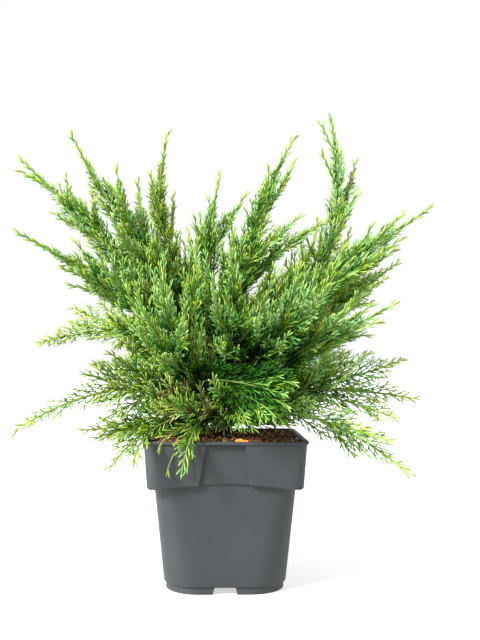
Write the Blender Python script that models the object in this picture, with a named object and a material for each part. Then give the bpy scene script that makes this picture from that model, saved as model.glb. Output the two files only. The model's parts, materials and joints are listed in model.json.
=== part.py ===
"""A Hetz eastern red cedar in its square nursery pot, in metres, +Z up.

The origin is the middle of the pot's flat underside, and -Y is the front. A plume is one spray-bearing
branch: its bare foot is a bough, and the rest is a mass of foliage grown on one stem and its forks.
"""
import math
import random

import bmesh
import bpy
import numpy as np
from mathutils import Matrix, Vector

SEED = 41
GAP = 0.0003                # clearance between neighbouring solids

# Pot, a square container with a stepped collar and a recessed panel on each side
POT_HEIGHT = 0.111
LIP_HALF = 0.0600
LIP_BAND = 0.0028
COLLAR_TOP_HALF = 0.0587
COLLAR_FOOT_HALF = 0.0566
COLLAR_FOOT = 0.076
COLLAR_ARCH = 0.0045        # how far the collar's lower edge rises in the middle of a side
BODY_TOP_HALF = 0.0520
BODY_FOOT_HALF = 0.0455
FOOT_HALF = 0.0440
FOOT_HEIGHT = 0.0052
WALL = 0.0015
FLOOR_TOP = 0.0070
PAD_HALF = 0.014
COLLAR_CORNER = 0.009
BODY_TOP_CORNER = 0.016
BODY_FOOT_CORNER = 0.025
PANEL_TOP_HALF = 0.0122
PANEL_FOOT_HALF = 0.0170
PANEL_TOP = POT_HEIGHT - 0.0040
PANEL_DEPTH = 0.0028
PANEL_DRAFT = 0.0022
NOTCH_HALF = 0.0092
NOTCH_TAPER = 0.0016
NOTCH_HEIGHT = 0.0050
DRAIN_RADIUS = 0.0036
DRAIN_REACH = 0.0275
CORNER_STEPS = 3

# Soil, filling the pot nearly to its rim
SOIL_EDGE = 0.1062
SOIL_TOP = 0.1088
SOIL_FLAT_HALF = 0.046

# Trunk, from the soil to where the leader's foliage takes over
TRUNK_FOOT = Vector((-0.004, 0.000, SOIL_TOP + GAP))
TRUNK_TIP = Vector((-0.014, 0.002, 0.222))
TRUNK_RADIUS = 0.0052
TRUNK_TIP_RADIUS = 0.0022
FLARE_RADIUS = 0.0030
FLARE_HEIGHT = 0.0070
TRUNK_SIDES = 8
TRUNK_LIFTS = (0.0, 0.004, 0.010, 0.022, 0.050, 0.084)

# Boughs, stems and forks
BOUGH_RADIUS = 0.0023
BOUGH_TIP_RADIUS = 0.0016
FORK_RADIUS = 0.0011
STEM_TIP_RADIUS = 0.0007
BOUGH_SIDES = 5
STEM_SIDES = 3
BOUGH_STEPS = 4
STEM_STEPS = 5
FORK_STEPS = 3
CURVE_STEPS = 60
PLUME_GRIP = 0.38           # how far a plume holds its headings, as a share of its span
FORK_GRIP = 0.34
FORK_AFTER = 0.035          # least share of a plume's length between its bough and a fork
FORK_BARE = 0.15            # share of a fork's length that bears no sprays

# Sprays
TIP_SPRAY = 0.024           # length of the spray that ends each plume
FORK_TIP_SPRAY = 0.020
TIP_OVERLAP = 0.003         # how far back along its limb that spray begins
SPRAY_STEP = 0.052          # distance between sprays along a limb
SPRAY_ANGLE = 34.0          # between a spray and its limb, in degrees
SPRAY_ROLL = 50.0
SPRAY_FULLNESS = 1.3        # longest spray over the length that the rows give, as few stand for many
SPRAY_TAPER = 0.66          # how much shorter the last spray of a limb is than its first
GOLDEN_TURN = 137.5
SHOOT = 0.0145              # a spray's longest side shoot
SHOOT_ANGLE = 33.0
SHOOT_BASE = 0.0046         # length of its root along the spray
FIRST_SHOOT = 0.10          # where the side shoots begin and end, as shares of the spray
LAST_SHOOT = 0.74
SHOOT_TAPER = 0.45
SPRAY_HEIGHT = 0.0018
SPRAY_HALF_WIDTH = 0.0013
SPRAY_THINNING = 0.4
SHORTEST_SPRAY = 0.010
SHORTENINGS = (1.0, 0.75, 0.55)
TURNS_TRIED = 7
LONG_SPRAY = 0.031          # from this length on a spray has three pairs of side shoots
MASS_MARGIN = 0.0014        # how far a spray keeps inside the space of its own mass

# One row a plume: name, azimuth of the tip, its reach from the trunk and its height, height of the
# foot, elevation at the foot and at the tip, longest spray, share of the length that is a bare bough.
# Azimuths and elevations are in degrees, azimuth 0 is +X and 270 the front.
PLUMES = [
    ("left_drooping", 193, 0.155, 0.116, 0.1225, 45, -33, 0.016, 0.27),
    ("left_low", 160, 0.165, 0.181, 0.1380, 54, -20, 0.017, 0.27),
    ("left_middle", 197, 0.156, 0.263, 0.1500, 46, 25, 0.028, 0.28),
    ("left_high", 174, 0.163, 0.335, 0.1650, 54, 44, 0.026, 0.27),
    ("left_crest", 197, 0.114, 0.341, 0.1780, 54, 62, 0.026, 0.25),
    ("mid_crest", 154, 0.040, 0.356, 0.1990, 42, 104, 0.022, 0.20),
    ("centre_leader", 349, 0.010, 0.320, 0.2220, 88, 76, 0.024, 0.00),
    ("centre_crest", 337, 0.069, 0.343, 0.1730, 68, 58, 0.024, 0.25),
    ("right_crest", 12, 0.092, 0.376, 0.1350, 40, 106, 0.020, 0.29),
    ("right_high", 354, 0.170, 0.289, 0.1580, 42, 34, 0.028, 0.28),
    ("right_middle", 22, 0.173, 0.257, 0.1440, 44, 36, 0.032, 0.28),
    ("right_low", 334, 0.143, 0.211, 0.1300, 40, 30, 0.032, 0.28),
    ("right_lower", 15, 0.162, 0.171, 0.1242, 28, 23, 0.030, 0.28),
    ("right_flat", 354, 0.155, 0.139, 0.1181, 37, -10, 0.030, 0.28),
    ("right_drooping", 337, 0.150, 0.086, 0.1122, 41, -38, 0.022, 0.30),
    ("front_hanging", 252, 0.084, 0.088, 0.1160, 48, -74, 0.024, 0.00),
    ("left_front_drooping", 214, 0.096, 0.088, 0.1170, 40, -56, 0.026, 0.00),
    ("left_skirt", 200, 0.110, 0.117, 0.1135, 12, -3, 0.028, 0.00),
    ("front_fan", 291, 0.112, 0.232, 0.1530, 40, 62, 0.036, 0.28),
    ("front_low", 288, 0.106, 0.129, 0.1200, 32, -24, 0.032, 0.00),
    ("front_right", 317, 0.122, 0.250, 0.1405, 40, 66, 0.036, 0.28),
    ("front_left", 238, 0.106, 0.222, 0.1330, 36, 68, 0.036, 0.28),
    ("back_centre", 86, 0.124, 0.245, 0.1610, 50, 44, 0.036, 0.26),
    ("back_left", 127, 0.134, 0.236, 0.1520, 48, 38, 0.036, 0.27),
    ("back_right", 42, 0.125, 0.299, 0.1690, 46, 82, 0.034, 0.27),
    ("back_low_left", 139, 0.124, 0.142, 0.1205, 32, -12, 0.034, 0.27),
    ("back_low_right", 45, 0.138, 0.152, 0.1285, 34, -10, 0.034, 0.27),
    ("back_low", 90, 0.120, 0.156, 0.1330, 36, -6, 0.034, 0.27),
]

# One row a fork: the plume that bears it, the share of that plume's length where it leaves, azimuth,
# reach and height of its tip, elevation at the tip, longest spray.
FORKS = [
    ("left_drooping", 0.40, 196, 0.102, 0.166, 8, 0.020),
    ("left_drooping", 0.28, 212, 0.097, 0.176, 30, 0.019),
    ("left_drooping", 0.44, 197, 0.109, 0.158, -4, 0.018),
    ("left_low", 0.45, 161, 0.133, 0.200, 5, 0.016),
    ("left_low", 0.35, 151, 0.148, 0.216, 22, 0.018),
    ("left_low", 0.26, 160, 0.106, 0.219, 45, 0.024),
    ("left_low", 0.22, 177, 0.072, 0.168, -16, 0.022),
    ("left_middle", 0.50, 208, 0.127, 0.234, 12, 0.018),
    ("left_middle", 0.40, 199, 0.118, 0.224, 5, 0.020),
    ("left_middle", 0.42, 196, 0.112, 0.260, 55, 0.022),
    ("left_middle", 0.30, 218, 0.105, 0.238, 50, 0.024),
    ("left_high", 0.80, 176, 0.160, 0.322, 32, 0.006),
    ("left_high", 0.52, 165, 0.130, 0.324, 80, 0.016),
    ("left_high", 0.56, 180, 0.098, 0.306, 82, 0.015),
    ("left_high", 0.50, 182, 0.128, 0.285, 38, 0.012),
    ("left_high", 0.32, 166, 0.109, 0.268, 44, 0.026),
    ("left_crest", 0.50, 212, 0.085, 0.313, 82, 0.016),
    ("left_crest", 0.38, 200, 0.062, 0.309, 86, 0.018),
    ("left_crest", 0.26, 219, 0.094, 0.274, 70, 0.024),
    ("mid_crest", 0.45, 173, 0.049, 0.322, 90, 0.017),
    ("mid_crest", 0.36, 135, 0.047, 0.310, 76, 0.007),
    ("mid_crest", 0.28, 208, 0.031, 0.268, 80, 0.022),
    ("centre_leader", 0.25, 332, 0.034, 0.300, 60, 0.018),
    ("centre_leader", 0.20, 108, 0.024, 0.291, 92, 0.018),
    ("centre_crest", 0.42, 318, 0.056, 0.315, 84, 0.014),
    ("centre_crest", 0.50, 352, 0.064, 0.327, 70, 0.010),
    ("centre_crest", 0.36, 327, 0.078, 0.278, 45, 0.022),
    ("centre_crest", 0.25, 295, 0.053, 0.270, 88, 0.022),
    ("centre_crest", 0.22, 360, 0.054, 0.266, 80, 0.024),
    ("centre_crest", 0.16, 286, 0.024, 0.261, 92, 0.020),
    ("centre_crest", 0.24, 349, 0.091, 0.278, 30, 0.019),
    ("right_crest", 0.50, 14, 0.118, 0.337, 80, 0.014),
    ("right_crest", 0.42, 2, 0.113, 0.306, 62, 0.018),
    ("right_crest", 0.34, 1, 0.082, 0.282, 96, 0.010),
    ("right_crest", 0.30, 20, 0.119, 0.283, 80, 0.018),
    ("right_high", 0.45, 345, 0.123, 0.274, 75, 0.018),
    ("right_high", 0.60, 360, 0.151, 0.288, 48, 0.014),
    ("right_high", 0.42, 356, 0.144, 0.258, 40, 0.024),
    ("right_high", 0.36, 345, 0.146, 0.262, 42, 0.016),
    ("right_middle", 0.42, 19, 0.154, 0.270, 50, 0.020),
    ("right_middle", 0.46, 26, 0.169, 0.244, 34, 0.028),
    ("right_middle", 0.30, 15, 0.129, 0.226, 48, 0.030),
    ("right_low", 0.50, 327, 0.138, 0.197, 15, 0.022),
    ("right_low", 0.38, 320, 0.126, 0.217, 60, 0.022),
    ("right_low", 0.34, 331, 0.127, 0.187, 0, 0.022),
    ("right_low", 0.42, 335, 0.125, 0.211, 40, 0.026),
    ("right_lower", 0.50, 12, 0.129, 0.177, 32, 0.018),
    ("right_lower", 0.32, 30, 0.133, 0.176, 40, 0.019),
    ("right_flat", 0.42, 350, 0.139, 0.125, -15, 0.020),
    ("right_flat", 0.26, 336, 0.108, 0.130, -6, 0.018),
    ("right_drooping", 0.50, 330, 0.140, 0.112, -15, 0.016),
    ("right_drooping", 0.54, 335, 0.108, 0.098, -56, 0.016),
    ("right_drooping", 0.22, 306, 0.093, 0.138, 6, 0.020),
    ("front_hanging", 0.35, 244, 0.093, 0.141, 10, 0.022),
    ("left_front_drooping", 0.36, 233, 0.098, 0.094, -80, 0.014),
    ("left_front_drooping", 0.30, 219, 0.093, 0.112, -40, 0.016),
    ("left_skirt", 0.55, 193, 0.096, 0.126, 30, 0.012),
    ("left_skirt", 0.45, 205, 0.102, 0.110, -26, 0.020),
    ("left_skirt", 0.34, 189, 0.084, 0.115, 0, 0.018),
    ("front_fan", 0.30, 279, 0.078, 0.257, 80, 0.024),
    ("front_fan", 0.48, 284, 0.123, 0.197, 20, 0.022),
    ("front_fan", 0.24, 269, 0.101, 0.227, 84, 0.024),
    ("front_fan", 0.26, 272, 0.113, 0.182, 40, 0.024),
    ("front_low", 0.40, 298, 0.106, 0.150, 8, 0.022),
    ("front_low", 0.30, 267, 0.084, 0.160, 60, 0.024),
    ("front_low", 0.42, 283, 0.089, 0.125, -20, 0.018),
    ("front_low", 0.45, 297, 0.096, 0.132, -12, 0.024),
    ("front_right", 0.32, 306, 0.099, 0.237, 78, 0.024),
    ("front_right", 0.48, 305, 0.130, 0.220, 52, 0.024),
    ("front_right", 0.28, 294, 0.118, 0.188, 40, 0.024),
    ("front_left", 0.34, 244, 0.093, 0.236, 72, 0.024),
    ("front_left", 0.45, 259, 0.114, 0.205, 60, 0.024),
    ("front_left", 0.26, 257, 0.066, 0.257, 86, 0.024),
    ("front_left", 0.30, 246, 0.109, 0.174, 20, 0.024),
    ("back_centre", 0.42, 66, 0.106, 0.296, 76, 0.024),
    ("back_centre", 0.34, 106, 0.091, 0.290, 78, 0.024),
    ("back_centre", 0.28, 68, 0.042, 0.282, 90, 0.022),
    ("back_left", 0.42, 123, 0.099, 0.288, 72, 0.024),
    ("back_left", 0.34, 141, 0.133, 0.206, 20, 0.024),
    ("back_right", 0.42, 49, 0.128, 0.259, 60, 0.024),
    ("back_low_left", 0.40, 157, 0.116, 0.168, 20, 0.020),
    ("back_low_right", 0.40, 27, 0.132, 0.196, 34, 0.022),
    ("back_low", 0.36, 74, 0.120, 0.196, 50, 0.024),
    ("back_low", 0.34, 112, 0.112, 0.188, 42, 0.024),
]


def clear_scene():
    for obj in list(bpy.data.objects):
        bpy.data.objects.remove(obj, do_unlink=True)


def make_material(name, color, roughness):
    material = bpy.data.materials.new(name)
    material.use_nodes = True
    shader = material.node_tree.nodes["Principled BSDF"]
    shader.inputs["Base Color"].default_value = (*color, 1.0)
    shader.inputs["Roughness"].default_value = roughness
    shader.inputs["Metallic"].default_value = 0.0
    return material


def add_object(name, mesh, material=None, collection=None):
    obj = bpy.data.objects.new(name, mesh)
    (collection or bpy.context.scene.collection).objects.link(obj)
    if material:
        obj.data.materials.clear()
        obj.data.materials.append(material)
    return obj


def mesh_from(name, points, faces):
    """A mesh of one or more closed bodies, with its faces turned outwards."""
    mesh = bpy.data.meshes.new(name)
    mesh.from_pydata([tuple(point) for point in points], [], faces)
    work = bmesh.new()
    work.from_mesh(mesh)
    bmesh.ops.recalc_face_normals(work, faces=work.faces)
    work.to_mesh(mesh)
    work.free()
    return mesh


def apply_modifiers(obj):
    graph = bpy.context.evaluated_depsgraph_get()
    mesh = bpy.data.meshes.new_from_object(obj.evaluated_get(graph))
    obj.modifiers.clear()
    obj.data = mesh


def cut_away(obj, cutter):
    """Cut one object by another, which is then removed."""
    boolean = obj.modifiers.new("cut", "BOOLEAN")
    boolean.operation = "DIFFERENCE"
    boolean.object = cutter
    apply_modifiers(obj)
    bpy.data.objects.remove(cutter, do_unlink=True)


def keep_largest_body(obj):
    """Drop loose scraps and sealed hollows, which are the smaller shells of a fused mesh."""
    work = bmesh.new()
    work.from_mesh(obj.data)
    unseen = set(work.verts)
    shells = []
    while unseen:
        front = [unseen.pop()]
        shell = list(front)
        while front:
            vertex = front.pop()
            for edge in vertex.link_edges:
                other = edge.other_vert(vertex)
                if other in unseen:
                    unseen.discard(other)
                    front.append(other)
                    shell.append(other)
        shells.append(shell)
    shells.sort(key=len)
    for shell in shells[:-1]:
        bmesh.ops.delete(work, geom=shell, context="VERTS")
    work.to_mesh(obj.data)
    work.free()


def loft(rings):
    """Quads between rings of equal count, with a flat cap on each end."""
    count = len(rings[0])
    points = [point for ring in rings for point in ring]
    faces = [tuple(range(count))]
    for level in range(len(rings) - 1):
        low = level * count
        for index in range(count):
            after = (index + 1) % count
            faces.append((low + index, low + after, low + count + after, low + count + index))
    faces.append(tuple(range(len(points) - count, len(points))))
    return points, faces


def square_ring(z, half, corner, panel_half=None, depth=0.0, arch=0.0):
    """One turn round the pot: a rounded square that may be pressed in by a panel on each side.

    arch lifts the middle of each side above z, and a ring with no panel keeps the same points.
    """
    straight = half - corner
    inner = 0.55 * straight if panel_half is None else panel_half
    outer = 0.80 * straight if panel_half is None else panel_half + PANEL_DRAFT
    side = [(half, -outer), (half - depth, -inner), (half - depth, 0.0), (half - depth, inner), (half, outer)]
    for step in range(CORNER_STEPS + 1):
        angle = math.radians(90.0 * step / CORNER_STEPS)
        side.append((straight + corner * math.cos(angle), straight + corner * math.sin(angle)))
    ring = []
    for quarter in range(4):
        turn = Matrix.Rotation(math.radians(90.0 * quarter), 3, "Z")
        for x, y in side:
            middle = max(0.0, 1.0 - (min(abs(x), abs(y)) / half) ** 1.4)
            ring.append(turn @ Vector((x, y, z + arch * middle)))
    return ring


def inner_rings(inset, floor, top):
    """The pot's inside from its floor to the height top, moved in by inset for what fills it."""
    step = COLLAR_FOOT + WALL
    shift = 0.5 * (WALL + inset)
    in_all = WALL + inset
    share = (top - step) / (POT_HEIGHT - step)
    top_half = COLLAR_FOOT_HALF + share * (COLLAR_TOP_HALF - COLLAR_FOOT_HALF) - in_all
    panel_half = PANEL_FOOT_HALF + share * (PANEL_TOP_HALF - PANEL_FOOT_HALF) + shift
    corner = COLLAR_CORNER - in_all
    return [
        square_ring(floor, BODY_FOOT_HALF - in_all, BODY_FOOT_CORNER - in_all),
        square_ring(step + inset, BODY_TOP_HALF - in_all, BODY_TOP_CORNER - in_all, arch=COLLAR_ARCH),
        square_ring(step + inset, COLLAR_FOOT_HALF - in_all, corner, PANEL_FOOT_HALF + shift, PANEL_DEPTH,
                    COLLAR_ARCH),
        square_ring(top, top_half, corner, panel_half, PANEL_DEPTH),
    ]


def build_pot(material):
    lip_foot = POT_HEIGHT - LIP_BAND
    lip_round = 0.0008
    inside = COLLAR_TOP_HALF - WALL
    rings = [
        square_ring(0.0, PAD_HALF, 0.75 * PAD_HALF),
        square_ring(FOOT_HEIGHT, PAD_HALF, 0.75 * PAD_HALF),
        square_ring(FOOT_HEIGHT, FOOT_HALF - WALL, BODY_FOOT_CORNER - WALL),
        square_ring(0.0, FOOT_HALF - WALL, BODY_FOOT_CORNER - WALL),
        square_ring(0.0, FOOT_HALF, BODY_FOOT_CORNER),
        square_ring(FOOT_HEIGHT, FOOT_HALF, BODY_FOOT_CORNER),
        square_ring(FOOT_HEIGHT + lip_round, BODY_FOOT_HALF, BODY_FOOT_CORNER),
        square_ring(COLLAR_FOOT, BODY_TOP_HALF, BODY_TOP_CORNER, arch=COLLAR_ARCH),
        square_ring(COLLAR_FOOT, COLLAR_FOOT_HALF, COLLAR_CORNER, PANEL_FOOT_HALF, PANEL_DEPTH, COLLAR_ARCH),
        square_ring(PANEL_TOP, COLLAR_TOP_HALF, COLLAR_CORNER, PANEL_TOP_HALF, PANEL_DEPTH),
        square_ring(lip_foot, COLLAR_TOP_HALF, COLLAR_CORNER, PANEL_TOP_HALF),
        square_ring(lip_foot, LIP_HALF, COLLAR_CORNER, PANEL_TOP_HALF),
        square_ring(POT_HEIGHT - lip_round, LIP_HALF, COLLAR_CORNER, PANEL_TOP_HALF),
        square_ring(POT_HEIGHT, LIP_HALF - lip_round, COLLAR_CORNER - lip_round, PANEL_TOP_HALF),
        square_ring(POT_HEIGHT, inside, COLLAR_CORNER - WALL, PANEL_TOP_HALF),
        square_ring(lip_foot - WALL, inside, COLLAR_CORNER - WALL, PANEL_TOP_HALF),
    ]
    rings += reversed(inner_rings(0.0, FLOOR_TOP, PANEL_TOP - WALL))
    pot = add_object("pot", mesh_from("pot", *loft(rings)))
    cut_away(pot, foot_cutter())
    pot.data.materials.clear()
    pot.data.materials.append(material)
    return pot


def foot_cutter():
    """A tapered notch in the middle of each side of the foot, and four drain holes in the floor."""
    points = []
    faces = []

    def add(rings):
        body_points, body_faces = loft(rings)
        faces.extend(tuple(index + len(points) for index in face) for face in body_faces)
        points.extend(body_points)

    reach = FOOT_HALF + 2.0 * WALL
    near = FOOT_HALF - 2.5 * WALL
    below = -0.001
    for quarter in range(4):
        turn = Matrix.Rotation(math.radians(90.0 * quarter), 3, "Z")
        outline = [(-NOTCH_HALF, below), (NOTCH_HALF, below), (NOTCH_HALF - NOTCH_TAPER, NOTCH_HEIGHT),
                   (NOTCH_TAPER - NOTCH_HALF, NOTCH_HEIGHT)]
        add([[turn @ Vector((x, y, z)) for y, z in outline] for x in (near, reach)])
        turn = Matrix.Rotation(math.radians(90.0 * quarter + 45.0), 3, "Z")
        centre = turn @ Vector((DRAIN_REACH, 0.0, 0.0))
        add([circle(centre + Vector((0.0, 0.0, z)), Vector((0.0, 0.0, 1.0)), DRAIN_RADIUS, 8)
             for z in (FOOT_HEIGHT - WALL, FLOOR_TOP + WALL)])
    return add_object("foot_cutter", mesh_from("foot_cutter", points, faces))


def build_soil(material):
    rings = inner_rings(GAP, FLOOR_TOP + GAP, SOIL_EDGE)
    rings.append(square_ring(SOIL_TOP, SOIL_FLAT_HALF, COLLAR_CORNER))
    return add_object("soil", mesh_from("soil", *loft(rings)), material)


def circle(centre, axis, radius, sides):
    across = axis.orthogonal().normalized()
    other = axis.normalized().cross(across)
    turns = [2.0 * math.pi * side / sides for side in range(sides)]
    return [centre + radius * (math.cos(turn) * across + math.sin(turn) * other) for turn in turns]


def tube(points, radii, sides, ends=None):
    """A closed tube along points; every ring faces along the path, without twisting."""
    ends = ends or (points[1] - points[0], points[-1] - points[-2])
    rings = []
    across = None
    for index, point in enumerate(points):
        if index == 0:
            axis = ends[0].normalized()
        elif index == len(points) - 1:
            axis = ends[1].normalized()
        else:
            axis = (points[index + 1] - points[index - 1]).normalized()
        across = axis.orthogonal() if across is None else across
        across = (across - across.dot(axis) * axis).normalized()
        other = axis.cross(across)
        turns = [2.0 * math.pi * side / sides for side in range(sides)]
        rings.append([point + radii[index] * (math.cos(turn) * across + math.sin(turn) * other)
                      for turn in turns])
    return loft(rings)


def trunk_point(height):
    share = (height - TRUNK_FOOT.z) / (TRUNK_TIP.z - TRUNK_FOOT.z)
    return TRUNK_FOOT.lerp(TRUNK_TIP, share)


def trunk_radius(height):
    share = min(1.0, max(0.0, (height - TRUNK_FOOT.z) / (TRUNK_TIP.z - TRUNK_FOOT.z)))
    flare = FLARE_RADIUS * math.exp(-(height - TRUNK_FOOT.z) / FLARE_HEIGHT)
    return TRUNK_RADIUS + share * (TRUNK_TIP_RADIUS - TRUNK_RADIUS) + flare


def trunk_mesh(name, grow, overshoot):
    heights = [TRUNK_FOOT.z + lift for lift in TRUNK_LIFTS] + [TRUNK_TIP.z]
    upright = Vector((0.0, 0.0, 1.0))
    points = [trunk_point(height) for height in heights]
    radii = [trunk_radius(height) + grow for height in heights]
    points[0] = points[0] - overshoot * upright
    points[-1] = points[-1] + overshoot * upright
    return mesh_from(name, *tube(points, radii, TRUNK_SIDES, (upright, upright)))


def flat_heading(azimuth):
    return Vector((math.cos(math.radians(azimuth)), math.sin(math.radians(azimuth)), 0.0))


def tilted(outward, elevation):
    angle = math.radians(elevation)
    return math.cos(angle) * outward + math.sin(angle) * Vector((0.0, 0.0, 1.0))


class Limb:
    """A curve that leaves its start along one heading and meets its tip along another, cut into knots."""

    def __init__(self, start, launch, tip, arrive, grip):
        reach = grip * (tip - start).length
        a, b, c, d = start, start + reach * launch, tip - reach * arrive, tip
        self.curve = []
        for step in range(CURVE_STEPS + 1):
            t = step / CURVE_STEPS
            u = 1.0 - t
            self.curve.append(u ** 3 * a + 3.0 * u * u * t * b + 3.0 * u * t * t * c + t ** 3 * d)
        steps = [(after - before).length for before, after in zip(self.curve, self.curve[1:])]
        self.curve_marks = np.cumsum([0.0] + steps)
        self.length = float(self.curve_marks[-1])

    def cut(self, distances):
        """Set the knots at these distances along the curve; between them the limb is straight."""
        columns = [np.interp(distances, self.curve_marks, [point[axis] for point in self.curve])
                   for axis in range(3)]
        self.points = [Vector(values) for values in zip(*columns)]
        self.marks = [0.0]
        for before, after in zip(self.points, self.points[1:]):
            self.marks.append(self.marks[-1] + (after - before).length)
        self.end = self.marks[-2]

    def at(self, distance):
        """The point and the direction of the limb at a distance from its start."""
        index = max(i for i, mark in enumerate(self.marks[:-1]) if mark <= max(0.0, distance))
        before, after = self.points[index], self.points[index + 1]
        direction = (after - before).normalized()
        return before + (distance - self.marks[index]) * direction, direction


class Plume(Limb):
    """One plume from the trunk's axis to its tip; its sprays begin where the bare bough ends."""

    def __init__(self, row):
        self.name, azimuth, reach, tip_height, foot_height, launch, arrive, self.spread, self.bare = row
        self.foot = trunk_point(foot_height)
        outward = flat_heading(azimuth)
        super().__init__(self.foot, tilted(outward, launch), self.tip_place(outward, reach, tip_height),
                         tilted(outward, arrive), PLUME_GRIP)
        bough_end = self.bare * self.length
        distances = list(np.linspace(0.0, bough_end, BOUGH_STEPS + 1))[:-1] if self.bare else []
        distances += list(np.linspace(bough_end, self.length - TIP_SPRAY, STEM_STEPS + 1))
        self.cut(distances + [self.length])
        self.bough_knots = BOUGH_STEPS if self.bare else 0
        self.start = self.marks[self.bough_knots]
        self.forks = []

    def tip_place(self, outward, reach, height):
        return Vector((self.foot.x, self.foot.y, height)) + reach * outward

    def radius(self, distance):
        if distance <= self.start:
            return BOUGH_RADIUS + (BOUGH_TIP_RADIUS - BOUGH_RADIUS) * distance / max(self.start, GAP)
        share = (distance - self.start) / (self.end - self.start)
        return BOUGH_TIP_RADIUS + (STEM_TIP_RADIUS - BOUGH_TIP_RADIUS) * min(1.0, share)

    def stem(self):
        """The knots and radii of the part that belongs to the foliage mass."""
        knots = [self.at(self.start + GAP)[0]] + self.points[self.bough_knots + 1:-1]
        return knots, [self.radius(mark) for mark in self.marks[self.bough_knots:-1]]


class Fork(Limb):
    """A branch of a plume, from the plume's axis to its own tip."""

    def __init__(self, plume, share, azimuth, reach, tip_height, arrive, spread):
        outward = flat_heading(azimuth)
        start, along = plume.at(max(share, plume.bare + FORK_AFTER) * plume.length)
        tip = plume.tip_place(outward, reach, tip_height)
        launch = (along + (tip - start).normalized()).normalized()
        super().__init__(start, launch, tip, tilted(outward, arrive), FORK_GRIP)
        self.cut(list(np.linspace(0.0, self.length - FORK_TIP_SPRAY, FORK_STEPS + 1)) + [self.length])
        self.start = FORK_BARE * self.length
        self.spread = spread

    def radius(self, distance):
        return FORK_RADIUS + (STEM_TIP_RADIUS - FORK_RADIUS) * min(1.0, distance / self.end)

    def stem(self):
        return self.points[:-1], [self.radius(mark) for mark in self.marks[:-1]]


class Space:
    """Tells whether a point lies in the space of one plume, clear of the others, trunk and pot."""

    def __init__(self, plumes):
        starts, ends, radii, owners = [], [], [], []
        for number, plume in enumerate(plumes):
            for limb in [plume] + plume.forks:
                for index in range(len(limb.points) - 1):
                    starts.append(tuple(limb.points[index]))
                    ends.append(tuple(limb.points[index + 1]))
                    radii.append(limb.radius(limb.marks[index]))
                    owners.append(number)
        self.starts = np.array(starts)
        self.along = np.array(ends) - self.starts
        self.square = (self.along ** 2).sum(axis=1)
        self.radii = np.array(radii)
        self.owners = np.array(owners)

    def holds(self, number, point, margin):
        place = np.array(tuple(point))
        share = ((place - self.starts) * self.along).sum(axis=1) / self.square
        foot = self.starts + np.clip(share, 0.0, 1.0)[:, None] * self.along
        distance = np.linalg.norm(place - foot, axis=1)
        mine = self.owners == number
        own = distance[mine].min()
        other = (distance - self.radii)[~mine].min()
        clear = self.clear_of_trunk(point, margin) and self.clear_of_pot(point, margin)
        return clear and other > own + margin

    def holds_all(self, number, points, margin):
        return all(self.holds(number, point, margin) for point in points)

    @staticmethod
    def clear_of_trunk(point, margin):
        if point.z > TRUNK_TIP.z:
            return True
        return (point - trunk_point(point.z)).length > trunk_radius(point.z) + margin

    @staticmethod
    def clear_of_pot(point, margin):
        reach = max(abs(point.x), abs(point.y))
        over = point.z > POT_HEIGHT + margin
        inside = reach < COLLAR_TOP_HALF - 3.0 * WALL and point.z > SOIL_TOP + margin
        outside = reach > LIP_HALF + margin
        return over or inside or outside


class Spray:
    """A flat spray with side shoots: a toothed blade, flat below and ridged along its middle."""

    def __init__(self, root, along, side, length, rng):
        self.root = root
        self.along = along.normalized()
        self.side = (side - side.dot(self.along) * self.along).normalized()
        self.up = self.along.cross(self.side)
        self.length = length
        self.pairs = 3 if length > LONG_SPRAY else 2
        step = (LAST_SHOOT - FIRST_SHOOT) * length / (self.pairs - 1)
        self.notches = [FIRST_SHOOT * length + step * pair for pair in range(self.pairs)]
        self.shoots = [[SHOOT * rng.uniform(0.8, 1.15) * (1.0 - SHOOT_TAPER * notch / length)
                        for notch in self.notches] for hand in (1, -1)]

    def place(self, s, q, h=0.0):
        return self.root + s * self.along + q * self.side + h * self.up

    def shoot_tip(self, hand, pair, share=1.0):
        out = share * self.shoots[0 if hand > 0 else 1][pair]
        angle = math.radians(SHOOT_ANGLE)
        return self.place(self.notches[pair] + out * math.cos(angle), hand * out * math.sin(angle))

    def reach_points(self):
        """The tips of the spray and of its side shoots, and points on the way to them."""
        found = [self.place(self.length, 0.0), self.place(0.6 * self.length, 0.0)]
        for hand in (1, -1):
            for pair in range(self.pairs):
                found += [self.shoot_tip(hand, pair, share) for share in (0.5, 1.0)]
        return found

    def body(self):
        points = [self.place(0.0, 0.0), self.place(self.length, 0.0)]
        root, tip = 0, 1
        ridge = []
        edge = {1: [], -1: []}
        for pair, s in enumerate(self.notches):
            thin = 1.0 - SPRAY_THINNING * s / self.length
            ridge.append(len(points))
            points.append(self.place(s + 0.5 * SHOOT_BASE, 0.0, thin * SPRAY_HEIGHT))
            for hand in (1, -1):
                width = hand * thin * SPRAY_HALF_WIDTH
                low, shoot, high = range(len(points), len(points) + 3)
                edge[hand].append((low, shoot, high))
                points.append(self.place(s, width))
                points.append(self.shoot_tip(hand, pair))
                points.append(self.place(s + SHOOT_BASE, width))
        below = [root] + [point for trio in edge[1] for point in trio] + [tip]
        below += [point for trio in reversed(edge[-1]) for point in reversed(trio)]
        faces = [tuple(below)]
        for hand in (1, -1):
            faces.append((root, ridge[0], edge[hand][0][0]))
            for pair, (low, shoot, high) in enumerate(edge[hand]):
                faces.append((low, ridge[pair], shoot))
                faces.append((shoot, ridge[pair], high))
                if pair + 1 < self.pairs:
                    faces.append((high, ridge[pair], edge[hand][pair + 1][0]))
                    faces.append((edge[hand][pair + 1][0], ridge[pair], ridge[pair + 1]))
            faces.append((edge[hand][-1][2], ridge[-1], tip))
        return points, faces


def tip_spray(limb, rng):
    root, along = limb.at(limb.end - TIP_OVERLAP)
    reach = limb.points[-1] - root
    return Spray(root, reach, along.orthogonal(), reach.length, rng)


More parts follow.
